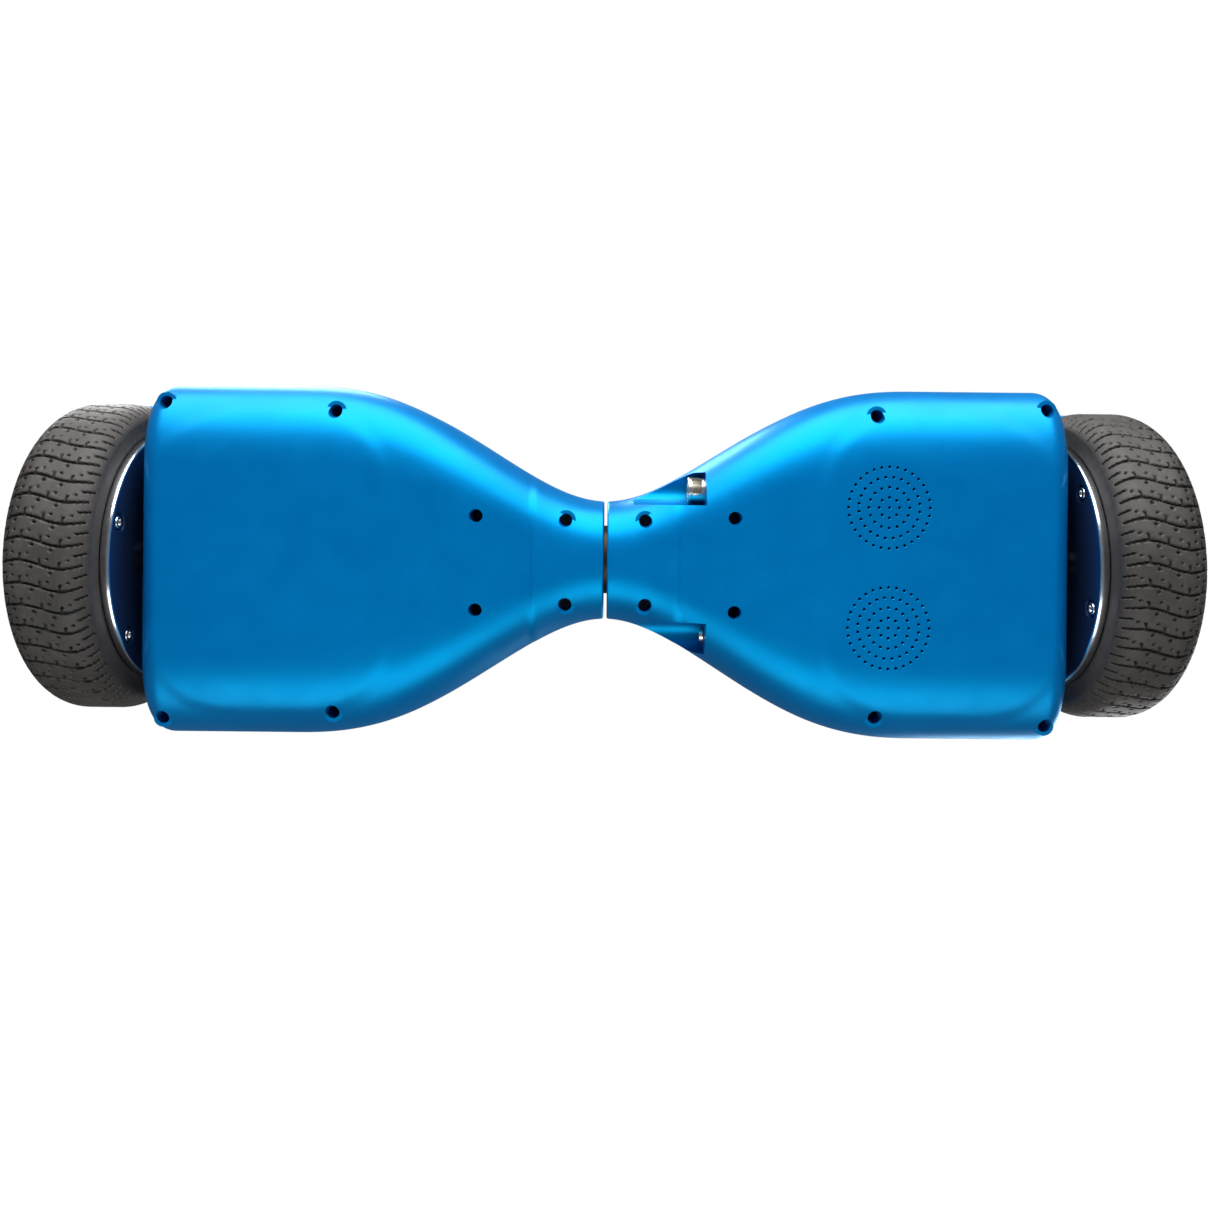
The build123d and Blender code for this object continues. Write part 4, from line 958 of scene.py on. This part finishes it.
def metal(name, colour, roughness=0.25, brushed=None, cast=False):
    """Bare metal: brushed along an axis, cast and grainy, or smoothly polished, with light handling marks."""
    s = Surface(name)
    stretch = {"X": (30, 900, 900), "R": (500, 60, 60), None: None}[brushed]
    if cast:
        grain = s.noise(1100, detail=5.0, roughness=0.7)
        s.raise_by(grain, 0.08, 0.7)
    elif stretch:
        grain = s.noise(1.0, detail=3.0, stretch=stretch)
        s.raise_by(grain, 0.012, 0.6)
    else:
        grain = s.noise(300, detail=4.0)
        s.raise_by(grain, 0.004, 0.5)
    smear = s.noise(35, detail=5.0)
    tone = s.mix(s.remap(grain, 0.3, 0.7, 0.0, 1.0), darker(colour, 0.86), darker(colour, 1.06))
    tone = s.mix(s.remap(smear, 0.55, 0.75, 0.0, 0.35), tone, darker(colour, 0.7))
    s.colour(s.mix(s.edges(), tone, tuple(min(1.0, c * 1.25) for c in colour)))
    s.rough(s.remap(smear, 0.3, 0.7, max(roughness - 0.06, 0.04), roughness + 0.1))
    s.set(Metallic=1.0)
    return s.material


def plastic(name, colour, roughness=0.45, grain=1600, depth=0.03, coat=0.0):
    """Moulded plastic with a spark-eroded grain, rubbed smoother at the corners."""
    s = Surface(name)
    grit = s.noise(grain, detail=3.0, roughness=0.6)
    patch = s.noise(40, detail=4.0)
    tone = s.mix(s.remap(patch, 0.35, 0.65, 0.0, 1.0), darker(colour, 0.9), darker(colour, 1.1))
    s.colour(s.mix(s.edges(), tone, tuple(min(1.0, c * 1.5 + 0.02) for c in colour)))
    s.rough(s.remap(patch, 0.3, 0.7, roughness - 0.06, roughness + 0.08))
    s.raise_by(grit, depth, 0.6)
    s.set(Coat_Weight=coat, Coat_Roughness=0.1)
    return s.material


def circuit(name):
    """Solder mask with copper traces under it and flecks of solder."""
    s = Surface(name)
    brick = s.node("ShaderNodeTexBrick", Scale=260.0)
    brick.inputs["Mortar Size"].default_value = 0.03
    s.link(s.place, brick.inputs["Vector"])
    tracks = s.remap(brick.outputs["Fac"], 0.0, 1.0, 0.0, 0.7)
    tone = s.mix(tracks, (0.01, 0.07, 0.03), (0.03, 0.16, 0.07))
    solder = s.remap(s.spots(420), 0.1, 0.16, 1.0, 0.0)
    s.colour(s.mix(solder, tone, (0.55, 0.55, 0.52)))
    s.rough(s.remap(s.noise(90), 0.3, 0.7, 0.25, 0.45))
    s.raise_by(tracks, 0.04, 0.6)
    return s.material


def clear_lens(name, colour, glow=0.0):
    """Clear moulded lens with fine ribs inside and faint scratches."""
    s = Surface(name)
    ribs = s.noise(1.0, detail=1.0, stretch=(900, 40, 40))
    s.colour(s.mix(s.remap(ribs, 0.4, 0.6, 0.0, 1.0), darker(colour, 0.85), colour))
    s.rough(s.remap(s.noise(220, detail=5.0), 0.4, 0.75, 0.06, 0.18))
    s.raise_by(ribs, 0.08, 0.5)
    s.set(Transmission_Weight=0.55, IOR=1.49, Coat_Weight=0.5)
    s.shader.inputs["Emission Color"].default_value = (*colour, 1.0)
    s.shader.inputs["Emission Strength"].default_value = glow
    return s.material


MATERIALS = {}


def finish(key):
    """One material of each finish, made when first asked for."""
    settings = bpy.context.scene.hoverboard
    blue = tuple(settings.cover_colour)
    tyre = tuple(settings.tyre_colour)
    makers = {
        "cover_blue": lambda: lacquer("cover_blue_lacquer", blue, 0.38, 0.3, (0.0, 0.72, 1.0)),
        # the tyre rubber has painted shade in its tread grooves
        "tyre_rubber": lambda: rubber("tyre_rubber", tyre, roughness=0.6, shade_grooves=True),
        "mat_rubber": lambda: rubber("mat_rubber", (0.022, 0.022, 0.024), grain=1300, dust=0.15),
        "rim_aluminium": lambda: metal("rim_polished_aluminium", (0.7, 0.72, 0.76), 0.16),
        "hub_navy": lambda: lacquer("hub_navy_gloss", (0.01, 0.022, 0.06), 0.2, 0.4, (0.3, 0.5, 0.8)),
        "hub_silver": lambda: metal("hub_brushed_silver", (0.62, 0.63, 0.66), 0.28, brushed="R"),
        "cast_aluminium": lambda: metal("frame_cast_aluminium", (0.52, 0.53, 0.55), 0.45, cast=True),
        "steel": lambda: metal("turned_steel", (0.6, 0.6, 0.61), 0.28, brushed="X"),
        "black_steel": lambda: metal("black_oxide_steel", (0.05, 0.05, 0.055), 0.4),
        "lamination": lambda: metal("stator_lacquered_steel", (0.2, 0.2, 0.22), 0.4, brushed="R"),
        "copper": lambda: metal("winding_enamelled_copper", (0.75, 0.33, 0.12), 0.3, brushed="R"),
        "magnet": lambda: metal("magnet_nickel", (0.6, 0.6, 0.62), 0.2),
        "battery_wrap": lambda: plastic("battery_shrink_film", (0.02, 0.1, 0.28), 0.22, 300, 0.08, 0.6),
        "circuit_board": lambda: circuit("circuit_board"),
        "speaker_black": lambda: plastic("speaker_pulp", (0.025, 0.025, 0.027), 0.7, 2200, 0.06),
        "black_plastic": lambda: plastic("black_moulded_plastic", (0.018, 0.018, 0.02), 0.4),
        "lens_clear": lambda: clear_lens("headlight_lens", (0.86, 0.92, 1.0), 0.05),
        "socket_metal": lambda: metal("socket_satin_nickel", (0.62, 0.6, 0.55), 0.26, brushed="X"),
        "socket_insert": lambda: plastic("socket_insert", (0.34, 0.27, 0.2), 0.5, 1200, 0.04),
        "button_metal": lambda: metal("button_satin_chrome", (0.78, 0.79, 0.8), 0.22, brushed="R"),
        "bronze": lambda: metal("bush_oiled_bronze", (0.14, 0.1, 0.06), 0.45, cast=True),
    }
    if key not in MATERIALS:
        MATERIALS[key] = makers[key]()
    return MATERIALS[key]


def dress(piece, key):
    """Give a piece one finish all over."""
    piece.data.materials.clear()
    piece.data.materials.append(finish(key))


def dress_node(name, key):
    """Give a frame node a finish, by its object's own slots."""
    piece = frame["nodes"][name]
    while len(piece.material_slots) < 1:
        piece.data.materials.append(None)
    for place in piece.material_slots:
        place.link = "OBJECT"
        place.material = finish(key)


def place_piece(piece, body, nodes, key=None):
    """Attach a finished piece to its body and hide the frame nodes that it stands for."""
    if key:
        dress(piece, key)
    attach(piece, body)
    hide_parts(*nodes)


def mirrored(piece, name):
    """The left-hand copy of a right-hand piece."""
    twin = piece.copy()
    twin.data = piece.data.copy()
    twin.name = name
    twin.data.name = name
    bpy.context.scene.collection.objects.link(twin)
    twin.data.transform(Matrix.Scale(-1, 4, (1, 0, 0)))
    twin.data.flip_normals()
    return twin


# ---- settings ------------------------------------------------------------------------------------------
class HoverboardSettings(bpy.types.PropertyGroup):
    """Sizes and colours of the hoverboard that a user may change."""

    cover_colour: FloatVectorProperty(
        name="Cover colour", description="Base colour of the metallic lacquer on the covers",
        subtype="COLOR", size=3, min=0.0, max=1.0, default=(0.0, 0.12, 0.38),
    )
    tyre_colour: FloatVectorProperty(
        name="Tyre colour", description="Base colour of the tyre rubber",
        subtype="COLOR", size=3, min=0.0, max=1.0, default=(0.025, 0.0215, 0.0195),
    )
    tread_blocks: IntProperty(
        name="Tread grooves", description="Number of wavy grooves round each tyre",
        default=48, min=24, max=72,
    )
    groove_depth: FloatProperty(
        name="Groove depth", description="Depth of the tread grooves in millimetres",
        default=1.5, min=0.5, max=3.0,
    )
    groove_wave: FloatProperty(
        name="Groove wave", description="Sideways swing of each groove in millimetres",
        default=2.3, min=0.0, max=4.0,
    )


# ---- operators -----------------------------------------------------------------------------------------
class HOVERBOARD_OT_lower_covers(bpy.types.Operator):
    """Build both lower covers, with posts, recesses, pockets and sound holes"""

    bl_idname = "hoverboard.lower_covers"
    bl_label = "Lower covers"

    def execute(self, context):
        right = cover_shell("lower_cover_right", True)
        add_posts(right)
        left = mirrored(right, "lower_cover_left")
        add_pockets(right)
        add_grilles(right)
        for side, cover in (("right", right), ("left", left)):
            shade(cover, 32.0)
            place_piece(cover, f"{side}_half", [f"{side}_bottom_cover"], "cover_blue")
        return {"FINISHED"}


class HOVERBOARD_OT_upper_covers(bpy.types.Operator):
    """Build both upper covers, with fenders, mat trays and light openings"""

    bl_idname = "hoverboard.upper_covers"
    bl_label = "Upper covers"

    def execute(self, context):
        right = cover_shell("upper_cover_right", False)
        add_fender(right)
        add_mat_tray(right)
        add_headlight_slot(right)
        left = mirrored(right, "upper_cover_left")
        low, high = box_mm("status_lens")
        add_window(right, (low[0] + high[0]) / 2, high[0] - low[0] - 4.0, high[1] - low[1] - 2.0)
        for side, cover in (("right", right), ("left", left)):
            shade(cover, 32.0)
            place_piece(cover, f"{side}_half", [f"{side}_top_cover"], "cover_blue")
        return {"FINISHED"}


class HOVERBOARD_OT_tyres(bpy.types.Operator):
    """Build both tyres with their tread"""

    bl_idname = "hoverboard.tyres"
    bl_label = "Tyres"

    def execute(self, context):
        right = tyre_mesh("tyre_right", 0.2, -1)
        left = mirrored(tyre_mesh("tyre_for_left", 0.55, 1), "tyre_left")
        bpy.data.objects.remove(bpy.data.objects["tyre_for_left"], do_unlink=True)
        for side, tyre in (("right", right), ("left", left)):
            place_piece(tyre, f"{side}_wheel", [f"{side}_tyre"], "tyre_rubber")
        return {"FINISHED"}


class HOVERBOARD_OT_wheels(bpy.types.Operator):
    """Build both rims, the discs that close the motors, their screws and the hub caps"""

    bl_idname = "hoverboard.wheels"
    bl_label = "Wheels"

    def execute(self, context):
        for side, sign, phase in (("right", 1, 19.0), ("left", -1, 41.0)):
            pieces = [
                (rim_ring(f"rim_{side}"), "rim_aluminium", "rim_aluminium", ["rim"]),
                (inner_disc(f"inner_disc_{side}", phase), "hub_navy", "hub_navy", ["inner_hub_cover"]),
                (hub_screw_set(f"hub_screws_{side}", phase), "steel", "button_metal", ["hub_screws"]),
                (outer_disc(f"outer_disc_{side}", phase), "hub_navy", "hub_navy", ["outer_hub_cover"]),
                (hub_dome(f"hub_dome_{side}"), "black_plastic", "black_plastic", ["hub_cap"]),
            ]
            for piece, slot, key, nodes in pieces:
                shade(piece, 32.0)
                if sign < 0:
                    piece.data.transform(Matrix.Scale(-1, 4, (1, 0, 0)))
                    piece.data.flip_normals()
                place_piece(piece, f"{side}_wheel", [f"{side}_{n}" for n in nodes], key)
        return {"FINISHED"}


class HOVERBOARD_OT_foot_mats(bpy.types.Operator):
    """Build both ribbed rubber foot mats"""

    bl_idname = "hoverboard.foot_mats"
    bl_label = "Foot mats"

    def execute(self, context):
        right = mat_mesh("foot_mat_ribbed_right")
        left = mirrored(right, "foot_mat_ribbed_left")
        for side, mat in (("right", right), ("left", left)):
            place_piece(mat, f"{side}_foot_mat", [f"{side}_foot_mat"], "mat_rubber")
        return {"FINISHED"}


class HOVERBOARD_OT_socket_and_button(bpy.types.Operator):
    """Build the charge socket and the power button in their pockets"""

    bl_idname = "hoverboard.socket_and_button"
    bl_label = "Socket and button"

    def execute(self, context):
        pieces = [
            (socket_mesh("charge_barrel"), "right_half", "socket_metal", "charge_port_shell"),
            (socket_core("charge_contacts"), "right_half", "socket_insert", "charge_port_insert"),
            (button_collar("button_collar"), "right_half", "black_plastic", "power_switch_body"),
            (button_mesh("push_button"), "power_button", "button_metal", "power_button"),
        ]
        for piece, body, slot, node in pieces:
            shade(piece, 32.0)
            place_piece(piece, body, [node], slot)
        return {"FINISHED"}


class HOVERBOARD_OT_inner_parts(bpy.types.Operator):
    """Build the pivot's bushes and give every carried-over part of the frame its own finish"""

    bl_idname = "hoverboard.inner_parts"
    bl_label = "Inner parts"

    def execute(self, context):
        place_piece(bush_set("pivot_bush_set"), "right_half", ["pivot_bushes"], "bronze")
        for entry in frame["record"]["subparts"]:
            name = entry["node"]
            dress_node(name, "black_steel" if name.endswith("_axle") else entry["material_slot"])
        return {"FINISHED"}


class HOVERBOARD_OT_stage(bpy.types.Operator):
    """Build the floor, the white world background, the lights and the camera"""

    bl_idname = "hoverboard.stage"
    bl_label = "Stage"

    def execute(self, context):
        build_stage()
        return {"FINISHED"}


class HOVERBOARD_PT_panel(bpy.types.Panel):
    """Lists the hoverboard's settings and the steps that build it"""

    bl_idname = "HOVERBOARD_PT_panel"
    bl_label = "Hoverboard"
    bl_space_type = "VIEW_3D"
    bl_region_type = "UI"
    bl_category = "Hoverboard"

    def draw(self, context):
        settings = context.scene.hoverboard
        for name in ("cover_colour", "tyre_colour", "tread_blocks", "groove_depth", "groove_wave"):
            self.layout.prop(settings, name)
        for step in STEPS:
            self.layout.operator(step.bl_idname)


STEPS = (
    HOVERBOARD_OT_lower_covers,
    HOVERBOARD_OT_upper_covers,
    HOVERBOARD_OT_tyres,
    HOVERBOARD_OT_wheels,
    HOVERBOARD_OT_foot_mats,
    HOVERBOARD_OT_socket_and_button,
    HOVERBOARD_OT_inner_parts,
    HOVERBOARD_OT_stage,
)
CLASSES = (HoverboardSettings, *STEPS, HOVERBOARD_PT_panel)


# ---- stage ---------------------------------------------------------------------------------------------
def area_light(name, place, size, power):
    """A soft rectangular light aimed at the middle of the board, in metres and watts."""
    data = bpy.data.lights.new(name, "AREA")
    data.shape = "RECTANGLE"
    data.size, data.size_y = size
    data.energy = power
    light = bpy.data.objects.new(name, data)
    bpy.context.scene.collection.objects.link(light)
    light.location = place
    aim = Vector((0.0, 0.0, 0.06)) - Vector(place)
    light.rotation_euler = aim.to_track_quat("-Z", "Y").to_euler()


def build_stage():
    """A pale floor seen only from above, soft lights above and below, and the camera below."""
    s = Surface("pale_floor")
    mottle = s.noise(8, detail=4.0)
    s.colour(s.mix(s.remap(mottle, 0.3, 0.7, 0.0, 1.0), (0.80, 0.80, 0.80), (0.84, 0.84, 0.84)))
    s.rough(s.remap(s.noise(60), 0.3, 0.7, 0.6, 0.75))
    s.raise_by(s.noise(900), 0.05, 0.3)
    geometry = s.node("ShaderNodeNewGeometry")
    clear = s.node("ShaderNodeBsdfTransparent")
    pick = s.node("ShaderNodeMixShader")
    out = s.tree.nodes["Material Output"]
    s.link(geometry.outputs["Backfacing"], pick.inputs["Fac"])
    s.link(s.shader.outputs["BSDF"], pick.inputs[1])
    s.link(clear.outputs["BSDF"], pick.inputs[2])
    s.link(pick.outputs["Shader"], out.inputs["Surface"])
    steps = np.linspace(-3000.0, 3000.0, 13)
    points = [(x, y, 0.0) for x in steps for y in steps]
    floor = new_object("floor", points, grid_faces(13, 13)[:, ::-1])
    if floor.data.polygons[0].normal.z < 0:
        floor.data.flip_normals()
    floor.data.materials.append(s.material)
    floor.visible_shadow = False
    floor.visible_diffuse = False
    floor.visible_glossy = False
    floor.visible_transmission = False

    world = bpy.data.worlds.new("studio")
    bpy.context.scene.world = world
    world.use_nodes = True
    nodes, links = world.node_tree.nodes, world.node_tree.links
    seen = nodes["Background"]
    seen.inputs["Strength"].default_value = 1.0
    lit = nodes.new("ShaderNodeBackground")
    lit.inputs["Strength"].default_value = 0.16
    for background in (seen, lit):
        background.inputs["Color"].default_value = (1.0, 1.0, 1.0, 1.0)
    path = nodes.new("ShaderNodeLightPath")
    choose = nodes.new("ShaderNodeMixShader")
    links.new(path.outputs["Is Camera Ray"], choose.inputs["Fac"])
    links.new(lit.outputs["Background"], choose.inputs[1])
    links.new(seen.outputs["Background"], choose.inputs[2])
    links.new(choose.outputs["Shader"], nodes["World Output"].inputs["Surface"])

    area_light("key_below", (0.0, -1.0, -0.3), (1.7, 1.2), 40.0)
    area_light("fill_below", (0.0, 0.85, -0.8), (1.7, 0.7), 12.0)
    area_light("key_above", (-0.9, -1.1, 1.5), (1.2, 0.8), 36.0)
    area_light("fill_above", (1.2, 0.9, 1.2), (1.2, 0.8), 16.0)
    data = bpy.data.cameras.new("camera")
    data.sensor_width = 36.0
    data.lens = 29.28
    data.shift_y = -0.086
    data.clip_start = 0.01
    camera = bpy.data.objects.new("camera", data)
    bpy.context.scene.collection.objects.link(camera)
    roll = math.radians(0.58)
    look = Matrix(((1, 0, 0), (0, -1, 0), (0, 0, -1))).to_4x4()
    camera.matrix_world = Matrix.Translation((0.0017, -0.031, -0.4729)) @ look @ Matrix.Rotation(roll, 4, "Z")
    bpy.context.scene.camera = camera
    bpy.context.scene.view_settings.view_transform = "Standard"


def register():
    """Add the settings, the steps and the panel to Blender."""
    for cls in CLASSES:
        bpy.utils.register_class(cls)
    bpy.types.Scene.hoverboard = PointerProperty(type=HoverboardSettings)


def unregister():
    """Take them out again."""
    del bpy.types.Scene.hoverboard
    for cls in reversed(CLASSES):
        bpy.utils.unregister_class(cls)


def main():
    """Run every step in order."""
    register()
    for step in STEPS:
        group, call = step.bl_idname.split(".")
        result = getattr(getattr(bpy.ops, group), call)()
        if result != {"FINISHED"}:
            raise RuntimeError(f"{step.bl_label} didn't finish")


if __name__ == "__main__":
    main()
